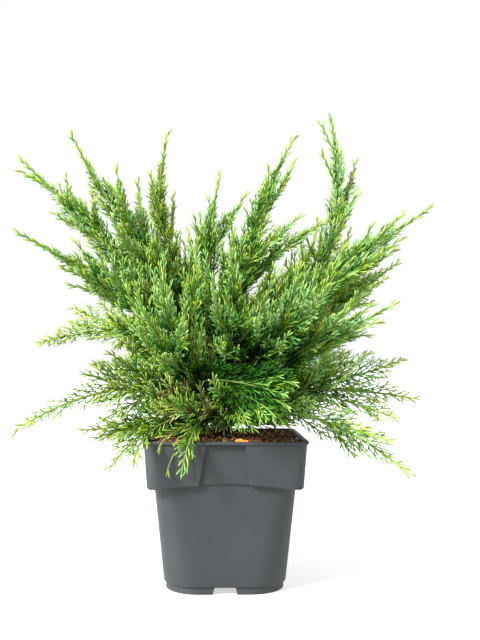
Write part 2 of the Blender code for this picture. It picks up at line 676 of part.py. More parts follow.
def grow_sprays(number, limb, space, rng):
    """Sprays round a limb by the golden turn, each shortened or skipped to keep to its own space."""
    turn = rng.uniform(0.0, 360.0)
    lean = math.radians(SPRAY_ANGLE)
    sprays = [tip_spray(limb, rng)]
    count = max(1, round((limb.end - limb.start) / SPRAY_STEP))
    for index in range(count):
        share = (index + 0.4) / count
        root, along = limb.at(limb.start + share * (limb.end - limb.start))
        longest = SPRAY_FULLNESS * limb.spread * (1.0 - SPRAY_TAPER * share) * rng.uniform(0.9, 1.1)
        across = along.orthogonal().normalized()
        for attempt in range(len(SHORTENINGS) * TURNS_TRIED):
            length = longest * SHORTENINGS[attempt // TURNS_TRIED]
            turn += GOLDEN_TURN
            outward = Matrix.Rotation(math.radians(turn), 3, along) @ across
            heading = math.cos(lean) * along + math.sin(lean) * outward
            roll = Matrix.Rotation(math.radians(rng.uniform(-SPRAY_ROLL, SPRAY_ROLL)), 3, heading)
            spray = Spray(root, heading, roll @ along, length, rng)
            if length > SHORTEST_SPRAY and space.holds_all(number, spray.reach_points(), MASS_MARGIN):
                sprays.append(spray)
                break
    return sprays


def build_mass(number, plume, space, material):
    """One stem with its forks and sprays fused on."""
    rng = random.Random(SEED + number)
    mass = add_object(plume.name + "_foliage", mesh_from("stem", *tube(*plume.stem(), STEM_SIDES)))
    branches = bpy.data.collections.new("branches")
    bpy.context.scene.collection.children.link(branches)
    for fork in plume.forks:
        add_object("fork", mesh_from("fork", *tube(*fork.stem(), STEM_SIDES)), collection=branches)
    for limb in [plume] + plume.forks:
        for spray in grow_sprays(number, limb, space, rng):
            add_object("spray", mesh_from("spray", *spray.body()), collection=branches)
    union = mass.modifiers.new("fuse", "BOOLEAN")
    union.operation = "UNION"
    union.operand_type = "COLLECTION"
    union.collection = branches
    apply_modifiers(mass)
    for obj in list(branches.objects):
        bpy.data.objects.remove(obj, do_unlink=True)
    bpy.data.collections.remove(branches)
    keep_largest_body(mass)
    if not plume.bare:
        cut_away(mass, add_object("trunk_cutter", trunk_mesh("trunk_cutter", GAP, 0.0)))
        keep_largest_body(mass)
    mass.data.materials.clear()
    mass.data.materials.append(material)
    return mass


def build_bough(plume, material):
    """The bare foot of a plume, cut to the trunk's side."""
    knots = plume.points[:plume.bough_knots + 1]
    radii = [plume.radius(mark) for mark in plume.marks[:plume.bough_knots + 1]]
    bough = add_object(plume.name + "_bough", mesh_from("bough", *tube(knots, radii, BOUGH_SIDES)))
    cut_away(bough, add_object("trunk_cutter", trunk_mesh("trunk_cutter", GAP, 0.0)))
    keep_largest_body(bough)
    bough.data.materials.clear()
    bough.data.materials.append(material)
    return bough


def grow_limbs():
    plumes = {row[0]: Plume(row) for row in PLUMES}
    for name, *row in FORKS:
        plumes[name].forks.append(Fork(plumes[name], *row))
    return list(plumes.values())


def main():
    clear_scene()
    plastic = make_material("pot_plastic", (0.115, 0.130, 0.133), 0.62)
    earth = make_material("potting_soil", (0.080, 0.045, 0.025), 0.95)
    bark = make_material("bark", (0.200, 0.110, 0.065), 0.90)
    foliage = make_material("foliage", (0.130, 0.260, 0.070), 0.60)
    build_pot(plastic)
    build_soil(earth)
    add_object("trunk", trunk_mesh("trunk", 0.0, 0.0), bark)
    plumes = grow_limbs()
    space = Space(plumes)
    for number, plume in enumerate(plumes):
        if plume.bare:
            build_bough(plume, bark)
        build_mass(number, plume, space, foliage)


main()
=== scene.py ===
# Potted Hetz eastern red cedar: finishes, fine foliage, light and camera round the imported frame.
import json
import math
import random

import bmesh
import bpy
import numpy as np
from mathutils import Matrix, Vector, noise

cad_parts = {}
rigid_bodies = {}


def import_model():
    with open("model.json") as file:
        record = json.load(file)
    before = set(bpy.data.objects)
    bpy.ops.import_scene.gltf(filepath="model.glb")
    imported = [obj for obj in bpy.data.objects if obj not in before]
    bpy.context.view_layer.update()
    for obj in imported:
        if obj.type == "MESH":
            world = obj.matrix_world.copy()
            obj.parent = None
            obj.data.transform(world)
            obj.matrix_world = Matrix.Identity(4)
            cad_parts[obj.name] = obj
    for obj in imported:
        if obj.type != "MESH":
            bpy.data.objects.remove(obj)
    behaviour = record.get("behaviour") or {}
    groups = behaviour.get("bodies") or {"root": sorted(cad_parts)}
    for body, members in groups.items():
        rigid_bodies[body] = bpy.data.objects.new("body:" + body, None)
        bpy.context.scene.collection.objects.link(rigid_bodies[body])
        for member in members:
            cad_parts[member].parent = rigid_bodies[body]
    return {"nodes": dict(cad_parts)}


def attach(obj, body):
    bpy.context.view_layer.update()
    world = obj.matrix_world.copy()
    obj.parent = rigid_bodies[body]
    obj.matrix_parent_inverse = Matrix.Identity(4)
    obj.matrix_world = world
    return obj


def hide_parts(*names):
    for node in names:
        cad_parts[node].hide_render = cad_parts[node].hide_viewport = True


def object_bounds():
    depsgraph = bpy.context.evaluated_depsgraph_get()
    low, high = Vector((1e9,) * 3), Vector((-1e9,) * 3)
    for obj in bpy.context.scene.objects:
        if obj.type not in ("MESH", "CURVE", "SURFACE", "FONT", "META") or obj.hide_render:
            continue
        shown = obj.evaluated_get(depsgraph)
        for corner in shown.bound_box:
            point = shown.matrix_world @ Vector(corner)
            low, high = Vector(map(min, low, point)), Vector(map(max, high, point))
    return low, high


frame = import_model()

cadLow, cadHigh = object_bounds()
upward = Vector((0.0, 0.0, 1.0))
goldenTurn = 137.5
print("frame loaded:", len(frame["nodes"]), "nodes")


# Helpers for node trees

def addNode(tree, kind, **settings):
    node = tree.nodes.new(kind)
    for key, value in settings.items():
        setattr(node, key, value)
    return node


# Link an output into a socket, or set a plain value on it
def feed(tree, socket, value):
    if isinstance(value, bpy.types.NodeSocket):
        tree.links.new(value, socket)
    else:
        socket.default_value = value


# A geometry tree with named inputs; gives the tree, its input node and the sockets' identifiers
def geometryTree(name, inputs):
    tree = bpy.data.node_groups.new(name, "GeometryNodeTree")
    tree.interface.new_socket("Geometry", in_out="INPUT", socket_type="NodeSocketGeometry")
    keys = {}
    for label, kind in inputs.items():
        keys[label] = tree.interface.new_socket(label, in_out="INPUT", socket_type=kind).identifier
    tree.interface.new_socket("Geometry", in_out="OUTPUT", socket_type="NodeSocketGeometry")
    return tree, addNode(tree, "NodeGroupInput"), keys


def finishTree(tree, geometry):
    out = addNode(tree, "NodeGroupOutput")
    tree.links.new(geometry, out.inputs[0])


# Run a geometry tree on an object and keep the result as its plain mesh
def bakeTree(obj, tree, keys, values):
    modifier = obj.modifiers.new("build", "NODES")
    modifier.node_group = tree
    for label, value in values.items():
        modifier[keys[label]] = value
    graph = bpy.context.evaluated_depsgraph_get()
    mesh = bpy.data.meshes.new_from_object(obj.evaluated_get(graph))
    obj.modifiers.clear()
    obj.data = mesh
    return obj


def addPiece(name, points, faces=(), edges=()):
    mesh = bpy.data.meshes.new(name)
    mesh.from_pydata([tuple(point) for point in points], list(edges), list(faces))
    obj = bpy.data.objects.new(name, mesh)
    bpy.context.scene.collection.objects.link(obj)
    return obj


def turnOutwards(obj):
    work = bmesh.new()
    work.from_mesh(obj.data)
    bmesh.ops.recalc_face_normals(work, faces=work.faces)
    work.to_mesh(obj.data)
    work.free()


def shadeSmooth(obj, angle=40.0):
    obj.data.shade_smooth()
    obj.data.set_sharp_from_angle(angle=math.radians(angle))


def rideRoot(piece, slot, *nodes):
    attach(piece, "root")
    if nodes:
        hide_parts(*nodes)


# Shader groups that several materials share

# A mask of soft patches with finer grain laid over it
def mottleGroup():
    group = bpy.data.node_groups.new("mottle", "ShaderNodeTree")
    scaleIn = group.interface.new_socket("Scale", in_out="INPUT", socket_type="NodeSocketFloat")
    scaleIn.default_value = 30.0
    grainIn = group.interface.new_socket("Grain", in_out="INPUT", socket_type="NodeSocketFloat")
    grainIn.default_value = 0.3
    group.interface.new_socket("Mask", in_out="OUTPUT", socket_type="NodeSocketFloat")
    group.interface.new_socket("Fine", in_out="OUTPUT", socket_type="NodeSocketFloat")
    start = addNode(group, "NodeGroupInput")
    place = addNode(group, "ShaderNodeTexCoord")
    soft = addNode(group, "ShaderNodeTexNoise")
    soft.inputs["Detail"].default_value = 3.0
    fine = addNode(group, "ShaderNodeTexNoise")
    fine.inputs["Detail"].default_value = 4.0
    times = addNode(group, "ShaderNodeMath", operation="MULTIPLY")
    times.inputs[1].default_value = 9.0
    feed(group, soft.inputs["Vector"], place.outputs["Object"])
    feed(group, fine.inputs["Vector"], place.outputs["Object"])
    feed(group, soft.inputs["Scale"], start.outputs["Scale"])
    feed(group, times.inputs[0], start.outputs["Scale"])
    feed(group, fine.inputs["Scale"], times.outputs[0])
    mix = addNode(group, "ShaderNodeMix", data_type="FLOAT")
    feed(group, mix.inputs[0], start.outputs["Grain"])
    feed(group, mix.inputs[2], soft.outputs["Fac"])
    feed(group, mix.inputs[3], fine.outputs["Fac"])
    end = addNode(group, "NodeGroupOutput")
    feed(group, end.inputs["Mask"], mix.outputs[0])
    feed(group, end.inputs["Fine"], fine.outputs["Fac"])
    return group


mottle = mottleGroup()


def newMaterial(name, roughness, specular=0.5):
    material = bpy.data.materials.new(name)
    material.use_nodes = True
    shader = material.node_tree.nodes["Principled BSDF"]
    shader.inputs["Roughness"].default_value = roughness
    shader.inputs["Specular IOR Level"].default_value = specular
    return material, material.node_tree, shader


# Base colour between two tones by the shared mottle, with its grain as a fine relief
def mottledColor(tree, shader, dark, light, scale, grain, bump=0.0, bumpDistance=0.0005):
    patches = addNode(tree, "ShaderNodeGroup", node_tree=mottle)
    patches.inputs["Scale"].default_value = scale
    patches.inputs["Grain"].default_value = grain
    ramp = addNode(tree, "ShaderNodeValToRGB")
    ramp.color_ramp.elements[0].position = 0.30
    ramp.color_ramp.elements[1].position = 0.70
    ramp.color_ramp.elements[0].color = (*dark, 1.0)
    ramp.color_ramp.elements[1].color = (*light, 1.0)
    feed(tree, ramp.inputs["Fac"], patches.outputs["Mask"])
    feed(tree, shader.inputs["Base Color"], ramp.outputs["Color"])
    if bump:
        relief = addNode(tree, "ShaderNodeBump")
        relief.inputs["Strength"].default_value = bump
        relief.inputs["Distance"].default_value = bumpDistance
        feed(tree, relief.inputs["Height"], patches.outputs["Fine"])
        feed(tree, shader.inputs["Normal"], relief.outputs["Normal"])
    return patches, ramp


# Camera at the photograph's viewing angle

cameraSettings = {"lens": 45.25, "sensor": 36.0, "place": (-0.00535, -0.6321, 0.1673), "yaw": 1.5, "pitch": 3.0,
                  "roll": -0.2}


def makeCamera(settings):
    data = bpy.data.cameras.new("camera")
    data.lens = settings["lens"]
    data.sensor_width = settings["sensor"]
    data.clip_start = 0.01
    data.clip_end = 50.0
    camera = bpy.data.objects.new("camera", data)
    bpy.context.scene.collection.objects.link(camera)
    yaw = math.radians(settings["yaw"])
    pitch = math.radians(settings["pitch"])
    heading = Vector((math.sin(yaw) * math.cos(pitch), math.cos(yaw) * math.cos(pitch), math.sin(pitch)))
    camera.location = settings["place"]
    roll = Matrix.Rotation(math.radians(settings["roll"]), 3, heading)
    camera.rotation_euler = (roll @ heading.to_track_quat("-Z", "Y").to_matrix()).to_euler()
    bpy.context.scene.camera = camera


makeCamera(cameraSettings)


# Stage: a pale floor, a white surround and soft studio lights

stageSettings = {"floorHalf": 30.0, "floorColor": (0.36, 0.36, 0.36), "floorGlow": 0.60, "surround": 1.0,
                 "keyPower": 10.5, "keyWidth": 16.0, "fillPower": 3.6, "sidePower": 4.5}


def makeLight(name, kind, place, aim, power):
    data = bpy.data.lights.new(name, kind)
    data.energy = power
    light = bpy.data.objects.new(name, data)
    bpy.context.scene.collection.objects.link(light)
    light.location = place
    light.rotation_euler = (Vector(aim) - Vector(place)).to_track_quat("-Z", "Y").to_euler()
    return data


def makeStage(settings):
    half = settings["floorHalf"]
    floor = addPiece("floor", [(-half, -half, 0.0), (half, -half, 0.0), (half, half, 0.0), (-half, half, 0.0)],
                     [(0, 1, 2, 3)])
    material, tree, shader = newMaterial("paleFloor", 0.45, 0.3)
    shader.inputs["Base Color"].default_value = (*settings["floorColor"], 1.0)
    shader.inputs["Emission Color"].default_value = (1.0, 1.0, 1.0, 1.0)
    shader.inputs["Emission Strength"].default_value = settings["floorGlow"]
    floor.data.materials.append(material)
    world = bpy.data.worlds.new("surround")
    bpy.context.scene.world = world
    world.use_nodes = True
    background = world.node_tree.nodes["Background"]
    background.inputs["Color"].default_value = (1.0, 1.0, 1.0, 1.0)
    background.inputs["Strength"].default_value = settings["surround"]
    key = makeLight("keyLight", "SUN", (-0.80, -0.62, 0.90), (0.0, 0.0, 0.15), settings["keyPower"])
    key.angle = math.radians(settings["keyWidth"])
    fill = makeLight("fillLight", "AREA", (0.95, -0.85, 0.55), (0.0, 0.0, 0.18), settings["fillPower"])
    fill.shape = "DISK"
    fill.size = 0.8
    side = makeLight("sideLight", "AREA", (-1.05, -0.10, 0.22), (0.0, 0.0, 0.14), settings["sidePower"])
    side.shape = "DISK"
    side.size = 0.5
    bpy.context.scene.view_settings.view_transform = "Standard"


makeStage(stageSettings)
print("camera and stage made")


# Pot: a moulded square container, its rings repeated from the frame's sizes with finer rounding

potSettings = {
    "height": 0.111, "lipHalf": 0.0600, "collarTopHalf": 0.0587, "collarFootHalf": 0.0566, "collarFoot": 0.076,
    "collarArch": 0.0045, "bodyTopHalf": 0.0520, "bodyFootHalf": 0.0455, "footHalf": 0.0440,
    "footHeight": 0.0052, "wall": 0.0015, "floorTop": 0.0070, "padHalf": 0.014, "collarCorner": 0.009,
    "bodyTopCorner": 0.016, "bodyFootCorner": 0.025, "panelTopHalf": 0.0122, "panelFootHalf": 0.0170,
    "panelDepth": 0.0028, "panelDraft": 0.0022, "notchHalf": 0.0092, "notchTaper": 0.0016,
    "notchHeight": 0.0050, "drainRadius": 0.0036, "drainReach": 0.0275, "cornerSteps": 10, "sideSteps": 6}


# One turn round the pot; a panel may press each side in, and arch lifts the middle of a side
def squareRing(z, half, corner, panelHalf=None, depth=0.0, arch=0.0, settings=potSettings):
    draft = settings["panelDraft"]
    straight = half - corner
    inner = 0.55 * straight if panelHalf is None else panelHalf
    outer = 0.80 * straight if panelHalf is None else panelHalf + draft
    steps = settings["sideSteps"]
    side = [(half, -straight + (straight - outer) * step / 3.0) for step in range(1, 4)]
    side += [(half - depth, -inner + 2.0 * inner * step / steps) for step in range(steps + 1)]
    side += [(half, outer + (straight - outer) * step / 3.0) for step in range(3)]
    for step in range(settings["cornerSteps"] + 1):
        angle = math.radians(90.0 * step / settings["cornerSteps"])
        side.append((straight + corner * math.cos(angle), straight + corner * math.sin(angle)))
    ring = []
    for quarter in range(4):
        turn = Matrix.Rotation(math.radians(90.0 * quarter), 3, "Z")
        for x, y in side:
            middle = max(0.0, 1.0 - (min(abs(x), abs(y)) / half) ** 1.4)
            ring.append(turn @ Vector((x, y, z + arch * middle)))
    return ring


def loft(rings, capped=True):
    count = len(rings[0])
    points = [point for ring in rings for point in ring]
    faces = [tuple(reversed(range(count)))] if capped else []
    for level in range(len(rings) - 1):
        low = level * count
        for index in range(count):
            after = (index + 1) % count
            faces.append((low + index, low + after, low + count + after, low + count + index))
    if capped:
        faces.append(tuple(range(len(points) - count, len(points))))
    return points, faces


# The inner wall from the floor up, moved in by inset for what fills it
def potInside(settings, inset, floor, top):
    s = settings
    step = s["collarFoot"] + s["wall"]
    inAll = s["wall"] + inset
    shift = 0.5 * inAll
    share = (top - step) / (s["height"] - step)
    topHalf = s["collarFootHalf"] + share * (s["collarTopHalf"] - s["collarFootHalf"]) - inAll
    panelHalf = s["panelFootHalf"] + share * (s["panelTopHalf"] - s["panelFootHalf"]) + shift
    corner = s["collarCorner"] - inAll
    return [
        squareRing(floor, s["bodyFootHalf"] - inAll, s["bodyFootCorner"] - inAll),
        squareRing(step + inset, s["bodyTopHalf"] - inAll, s["bodyTopCorner"] - inAll, arch=s["collarArch"]),
        squareRing(step + inset, s["collarFootHalf"] - inAll, corner, s["panelFootHalf"] + shift,
                   s["panelDepth"], s["collarArch"]),
        squareRing(top, topHalf, corner, panelHalf, s["panelDepth"])]


def potRings(s):
    height, wall, arch = s["height"], s["wall"], s["collarArch"]
    foot, collar, corner = s["footHeight"], s["collarFoot"], s["collarCorner"]
    footCorner, topPanel = s["bodyFootCorner"], s["panelTopHalf"]
    padCorner = 0.75 * s["padHalf"]
    rings = [
        squareRing(0.0, s["padHalf"], padCorner), squareRing(foot, s["padHalf"], padCorner),
        squareRing(foot, s["footHalf"] - wall, footCorner - wall),
        squareRing(0.0003, s["footHalf"] - wall, footCorner - wall),
        squareRing(0.0, s["footHalf"] - wall + 0.0003, footCorner - wall),
        squareRing(0.0, s["footHalf"] - 0.0005, footCorner), squareRing(0.0005, s["footHalf"], footCorner),
        squareRing(foot - 0.0002, s["footHalf"], footCorner),
        squareRing(foot + 0.0002, s["footHalf"] + 0.0006, footCorner),
        squareRing(foot + 0.0005, s["bodyFootHalf"] - 0.0002, footCorner),
        squareRing(foot + 0.0011, s["bodyFootHalf"], footCorner)]
    bodySteps = 8
    for step in range(1, bodySteps + 1):
        share = step / bodySteps
        rings.append(squareRing(foot + 0.0011 + share * (collar - foot - 0.0011),
                                s["bodyFootHalf"] + share * (s["bodyTopHalf"] - s["bodyFootHalf"]),
                                footCorner + share * (s["bodyTopCorner"] - footCorner), arch=share * arch))
    for lift, inset in ((0.0, 0.0009), (0.0001, 0.0004), (0.0005, 0.0001), (0.0011, 0.0)):
        rings.append(squareRing(collar + lift, s["collarFootHalf"] - inset, corner - inset, s["panelFootHalf"],
                                s["panelDepth"], arch))
    panelTop = height - 0.0040
    for share in (0.33, 0.66, 1.0):
        rings.append(squareRing(collar + 0.0011 + share * (panelTop - collar - 0.0011),
                                s["collarFootHalf"] + share * (s["collarTopHalf"] - s["collarFootHalf"]), corner,
                                s["panelFootHalf"] + share * (topPanel - s["panelFootHalf"]), s["panelDepth"],
                                (1.0 - share) * arch))
    rings.append(squareRing(panelTop + 0.0008, s["collarTopHalf"], corner, topPanel, 0.35 * s["panelDepth"]))
    rings.append(squareRing(panelTop + 0.0011, s["collarTopHalf"], corner, topPanel))
    bead = ((0.0028, 0.0010), (0.0025, 0.0004), (0.0019, 0.0), (0.0010, 0.0), (0.0004, 0.0003), (0.0001, 0.0007),
            (0.0, 0.0011), (0.0001, 0.0020), (0.0004, 0.0024), (0.0010, 0.0026), (0.0030, 0.0028))
    for drop, inset in bead:
        rings.append(squareRing(height - drop, s["lipHalf"] - inset, corner - 0.5 * inset, topPanel))
    rings += reversed(potInside(s, 0.0, s["floorTop"], height - 0.0055))
    return rings


def footCutter(s):
    points, faces = [], []

    def add(rings):
        bodyPoints, bodyFaces = loft(rings)
        faces.extend(tuple(index + len(points) for index in face) for face in bodyFaces)
        points.extend(bodyPoints)

    near, reach = s["footHalf"] - 2.5 * s["wall"], s["footHalf"] + 2.0 * s["wall"]
    for quarter in range(4):
        turn = Matrix.Rotation(math.radians(90.0 * quarter), 3, "Z")
        half, taper, high = s["notchHalf"], s["notchTaper"], s["notchHeight"]
        outline = [(-half, -0.001), (half, -0.001), (half - taper, high), (taper - half, high)]
        add([[turn @ Vector((x, y, z)) for y, z in outline] for x in (near, reach)])
        turn = Matrix.Rotation(math.radians(90.0 * quarter + 45.0), 3, "Z")
        centre = turn @ Vector((s["drainReach"], 0.0, 0.0))
        add([[centre + Vector((s["drainRadius"] * math.cos(a), s["drainRadius"] * math.sin(a), z))
              for a in np.linspace(0.0, 2.0 * math.pi, 20, endpoint=False)]
             for z in (s["footHeight"] - s["wall"], s["floorTop"] + s["wall"])])
    cutter = addPiece("footCutter", points, faces)
    turnOutwards(cutter)
    return cutter


def potMaterial():
    material, tree, shader = newMaterial("potPlastic", 0.52, 0.38)
    patches, ramp = mottledColor(tree, shader, (0.0165, 0.0200, 0.0215), (0.0228, 0.0272, 0.0293), 26.0, 0.35,
                                 bump=0.22, bumpDistance=0.0002)
    place = addNode(tree, "ShaderNodeTexCoord")
    stretch = addNode(tree, "ShaderNodeMapping")
    stretch.inputs["Scale"].default_value = (90.0, 90.0, 6.0)
    feed(tree, stretch.inputs["Vector"], place.outputs["Object"])
    scuffs = addNode(tree, "ShaderNodeTexNoise")
    scuffs.inputs["Scale"].default_value = 3.0
    scuffs.inputs["Detail"].default_value = 6.0
    scuffs.inputs["Roughness"].default_value = 0.7
    feed(tree, scuffs.inputs["Vector"], stretch.outputs["Vector"])
    thin = addNode(tree, "ShaderNodeMapRange")
    for label, value in (("From Min", 0.60), ("From Max", 0.80), ("To Min", 0.0), ("To Max", 0.35)):
        thin.inputs[label].default_value = value
    feed(tree, thin.inputs["Value"], scuffs.outputs["Fac"])
    dusty = addNode(tree, "ShaderNodeMix", data_type="RGBA")
    feed(tree, dusty.inputs[0], thin.outputs["Result"])
    feed(tree, dusty.inputs[6], ramp.outputs["Color"])
    dusty.inputs[7].default_value = (0.060, 0.066, 0.067, 1.0)
    feed(tree, shader.inputs["Base Color"], dusty.outputs[2])
    rough = addNode(tree, "ShaderNodeMapRange")
    for label, value in (("To Min", 0.42), ("To Max", 0.62)):
        rough.inputs[label].default_value = value
    feed(tree, rough.inputs["Value"], patches.outputs["Mask"])
    feed(tree, shader.inputs["Roughness"], rough.outputs["Result"])
    return material


def makePot(s):
    points, faces = loft(potRings(s))
    pot = addPiece("potShell", points, faces)
    turnOutwards(pot)
    cutter = footCutter(s)
    cut = pot.modifiers.new("cut", "BOOLEAN")
    cut.operation = "DIFFERENCE"
    cut.object = cutter
    graph = bpy.context.evaluated_depsgraph_get()
    mesh = bpy.data.meshes.new_from_object(pot.evaluated_get(graph))
    pot.modifiers.clear()
    pot.data = mesh
    bpy.data.objects.remove(cutter, do_unlink=True)
    pot.data.materials.clear()
    pot.data.materials.append(potMaterial())
    shadeSmooth(pot, 38.0)
    rideRoot(pot, "pot_plastic", "pot")


makePot(potSettings)
print("pot made")


# Soil: a rough bark and peat surface, strewn with chips

soilSettings = {"edge": 0.1077, "top": 0.1088, "gap": 0.0003, "rings": 46, "chips": 1900, "chipSeed": 7,
                "bareEdge": 0.09, "mound": 0.0045, "moundReach": 0.024, "half": 0.057, "slopeReach": 0.012,
                "cornerRise": 0.85}


# Height of the soil's surface: low at the wall, pressed up in the corners, uneven everywhere
def soilHeight(x, y, s):
    near, far = sorted((abs(x), abs(y)))
    inward = max(0.0, (s["half"] - far) / s["slopeReach"]) + s["cornerRise"] * (near / s["half"]) ** 4
    rise = s["edge"] + (s["top"] - s["edge"]) * min(1.0, inward)
    place = Vector((x, y, 0.3))
    bumps = 0.0013 * noise.noise(place * 55.0) + 0.0009 * noise.noise(place * 160.0)
    mound = s["mound"] * math.exp(-(x * x + y * y) / s["moundReach"] ** 2)
    return rise + mound + bumps + 0.0006 * noise.noise(place * 420.0)


def soilMaterial():
    material, tree, shader = newMaterial("soilCrumbs", 0.95, 0.2)
    mottledColor(tree, shader, (0.012, 0.008, 0.004), (0.080, 0.047, 0.026), 190.0, 0.5, bump=0.9,
                 bumpDistance=0.0008)
    return material


def chipMaterial(name, dark, light):
    material, tree, shader = newMaterial(name, 0.85, 0.25)
    mottledColor(tree, shader, dark, light, 260.0, 0.4, bump=0.5, bumpDistance=0.0003)
    return material


# A splinter of bark: a thin slab with a ragged outline, five stations long
def makeChip(name, length, width, thick, seed):
    rng = random.Random(seed)
    rings = []
    for x, share in ((-0.5, 0.25), (-0.28, 0.85), (0.02, 1.0), (0.3, 0.75), (0.5, 0.2)):
        half = 0.5 * width * share * rng.uniform(0.75, 1.15)
        high = 0.5 * thick * rng.uniform(0.7, 1.2)
        sway = 0.12 * width * rng.uniform(-1.0, 1.0)
        rings.append([Vector((x * length, sway + sy * half, sz * high + 0.15 * thick * rng.uniform(-1.0, 1.0)))
                      for sy, sz in ((-1, -1), (1, -0.9), (0.9, 1), (-0.8, 1))])
    points, faces = loft(rings)
    chip = addPiece(name, points, faces)
    turnOutwards(chip)
    return chip


# Points on the upward faces, each with a chip of random turn, tilt and size
def chipTree():
    tree, start, keys = geometryTree("strewChips", {
        "Chips": "NodeSocketCollection", "Density": "NodeSocketFloat", "Smallest": "NodeSocketFloat",
        "Largest": "NodeSocketFloat", "Tilt": "NodeSocketFloat", "Seed": "NodeSocketInt",
        "Bark": "NodeSocketMaterial"})
    normal = addNode(tree, "GeometryNodeInputNormal")
    split = addNode(tree, "ShaderNodeSeparateXYZ")
    feed(tree, split.inputs[0], normal.outputs[0])
    facingUp = addNode(tree, "FunctionNodeCompare", data_type="FLOAT", operation="GREATER_THAN")
    feed(tree, facingUp.inputs["A"], split.outputs["Z"])
    facingUp.inputs["B"].default_value = 0.5
    strew = addNode(tree, "GeometryNodeDistributePointsOnFaces", distribute_method="RANDOM")
    feed(tree, strew.inputs["Mesh"], start.outputs["Geometry"])
    feed(tree, strew.inputs["Selection"], facingUp.outputs["Result"])
    feed(tree, strew.inputs["Density"], start.outputs["Density"])
    feed(tree, strew.inputs["Seed"], start.outputs["Seed"])
    chips = addNode(tree, "GeometryNodeCollectionInfo")
    feed(tree, chips.inputs["Collection"], start.outputs["Chips"])
    chips.inputs["Separate Children"].default_value = True
    chips.inputs["Reset Children"].default_value = True
    turn = addNode(tree, "FunctionNodeRandomValue", data_type="FLOAT_VECTOR")
    high = addNode(tree, "ShaderNodeCombineXYZ")
    low = addNode(tree, "ShaderNodeCombineXYZ")
    back = addNode(tree, "ShaderNodeMath", operation="MULTIPLY")
    back.inputs[1].default_value = -1.0
    feed(tree, back.inputs[0], start.outputs["Tilt"])
    for axis in (0, 1):
        feed(tree, high.inputs[axis], start.outputs["Tilt"])
        feed(tree, low.inputs[axis], back.outputs[0])
    high.inputs[2].default_value = 2.0 * math.pi
    feed(tree, turn.inputs["Min"], low.outputs[0])
    feed(tree, turn.inputs["Max"], high.outputs[0])
    feed(tree, turn.inputs["Seed"], start.outputs["Seed"])
    size = addNode(tree, "FunctionNodeRandomValue", data_type="FLOAT")
    feed(tree, size.inputs[2], start.outputs["Smallest"])
    feed(tree, size.inputs[3], start.outputs["Largest"])
    place = addNode(tree, "GeometryNodeInstanceOnPoints")
    feed(tree, place.inputs["Points"], strew.outputs["Points"])
    feed(tree, place.inputs["Instance"], chips.outputs[0])
    place.inputs["Pick Instance"].default_value = True
    feed(tree, place.inputs["Rotation"], turn.outputs[0])
    feed(tree, place.inputs["Scale"], size.outputs[1])
    real = addNode(tree, "GeometryNodeRealizeInstances")
    feed(tree, real.inputs[0], place.outputs[0])
    paint = addNode(tree, "GeometryNodeSetMaterial")
    feed(tree, paint.inputs["Geometry"], real.outputs[0])
    feed(tree, paint.inputs["Material"], start.outputs["Bark"])
    finishTree(tree, paint.outputs[0])
    return tree, keys


def makeSoil(s):
    rings = potInside(potSettings, s["gap"], potSettings["floorTop"] + s["gap"], s["edge"])
    outline = rings.pop()
    count = s["rings"]
    for index in range(count):
        share = 1.0 - index / count
        rings.append([Vector((p.x * share, p.y * share, soilHeight(p.x * share, p.y * share, s)))
                      for p in outline])
    points, faces = loft(rings)
    soil = addPiece("soilBed", points, faces)
    turnOutwards(soil)
    soil.data.materials.append(soilMaterial())
    shadeSmooth(soil, 60.0)
    rideRoot(soil, "potting_soil", "soil")
    inner = rings[3 + round(count * s["bareEdge"]):]
    surface = addPiece("surface", [p for ring in inner for p in ring],
                       [tuple(face) for face in loft(inner, capped=False)[1]])
    chips = bpy.data.collections.new("chips")
    for index, (length, width, thick) in enumerate(((0.008, 0.003, 0.0012), (0.0055, 0.0035, 0.001),
                                                    (0.011, 0.0022, 0.001), (0.004, 0.0028, 0.0014))):
        chip = makeChip("chip" + str(index), length, width, thick, index)
        bpy.context.scene.collection.objects.unlink(chip)
        chips.objects.link(chip)
    tree, keys = chipTree()
    area = 4.0 * 0.056 ** 2
    kinds = (("darkChips", 0.40, (0.016, 0.009, 0.005), (0.060, 0.028, 0.014), 0.9),
             ("redChips", 0.38, (0.130, 0.060, 0.024), (0.300, 0.150, 0.062), 0.95),
             ("paleChips", 0.22, (0.260, 0.130, 0.055), (0.480, 0.270, 0.120), 0.75))
    for index, (name, share, dark, light, biggest) in enumerate(kinds):
        piece = bpy.data.objects.new(name, surface.data.copy())
        bpy.context.scene.collection.objects.link(piece)
        bakeTree(piece, tree, keys, {"Chips": chips, "Density": share * s["chips"] / area, "Smallest": 0.35,
                                     "Largest": biggest, "Tilt": 0.70, "Seed": s["chipSeed"] + index,
                                     "Bark": chipMaterial(name, dark, light)})
        rideRoot(piece, "potting_soil")
    for chip in list(chips.objects):
        bpy.data.objects.remove(chip, do_unlink=True)
    bpy.data.objects.remove(surface, do_unlink=True)
    orange = makeChip("orangeChip", 0.0095, 0.0060, 0.0022, 11)
    orange.data.transform(Matrix.Translation((0.0115, -0.0500, 0.1098)) @ Matrix.Rotation(0.35, 4, "Z")
                          @ Matrix.Rotation(0.5, 4, "X"))
    orange.data.materials.append(chipMaterial("orangeBark", (0.42, 0.13, 0.025), (0.75, 0.30, 0.06)))
    rideRoot(orange, "potting_soil")


makeSoil(soilSettings)
print("soil made")


# Trunk and plumes: the frame's own rule for where each limb runs

trunkSettings = {"foot": (-0.004, 0.000, 0.1091), "tip": (-0.014, 0.002, 0.222), "radius": 0.0052,
                 "tipRadius": 0.0022, "flareRadius": 0.0030, "flareHeight": 0.0070}

plumeSettings = {"boughRadius": 0.0023, "boughTipRadius": 0.0016, "stemTipRadius": 0.0005,
                 "forkRadius": 0.0008}

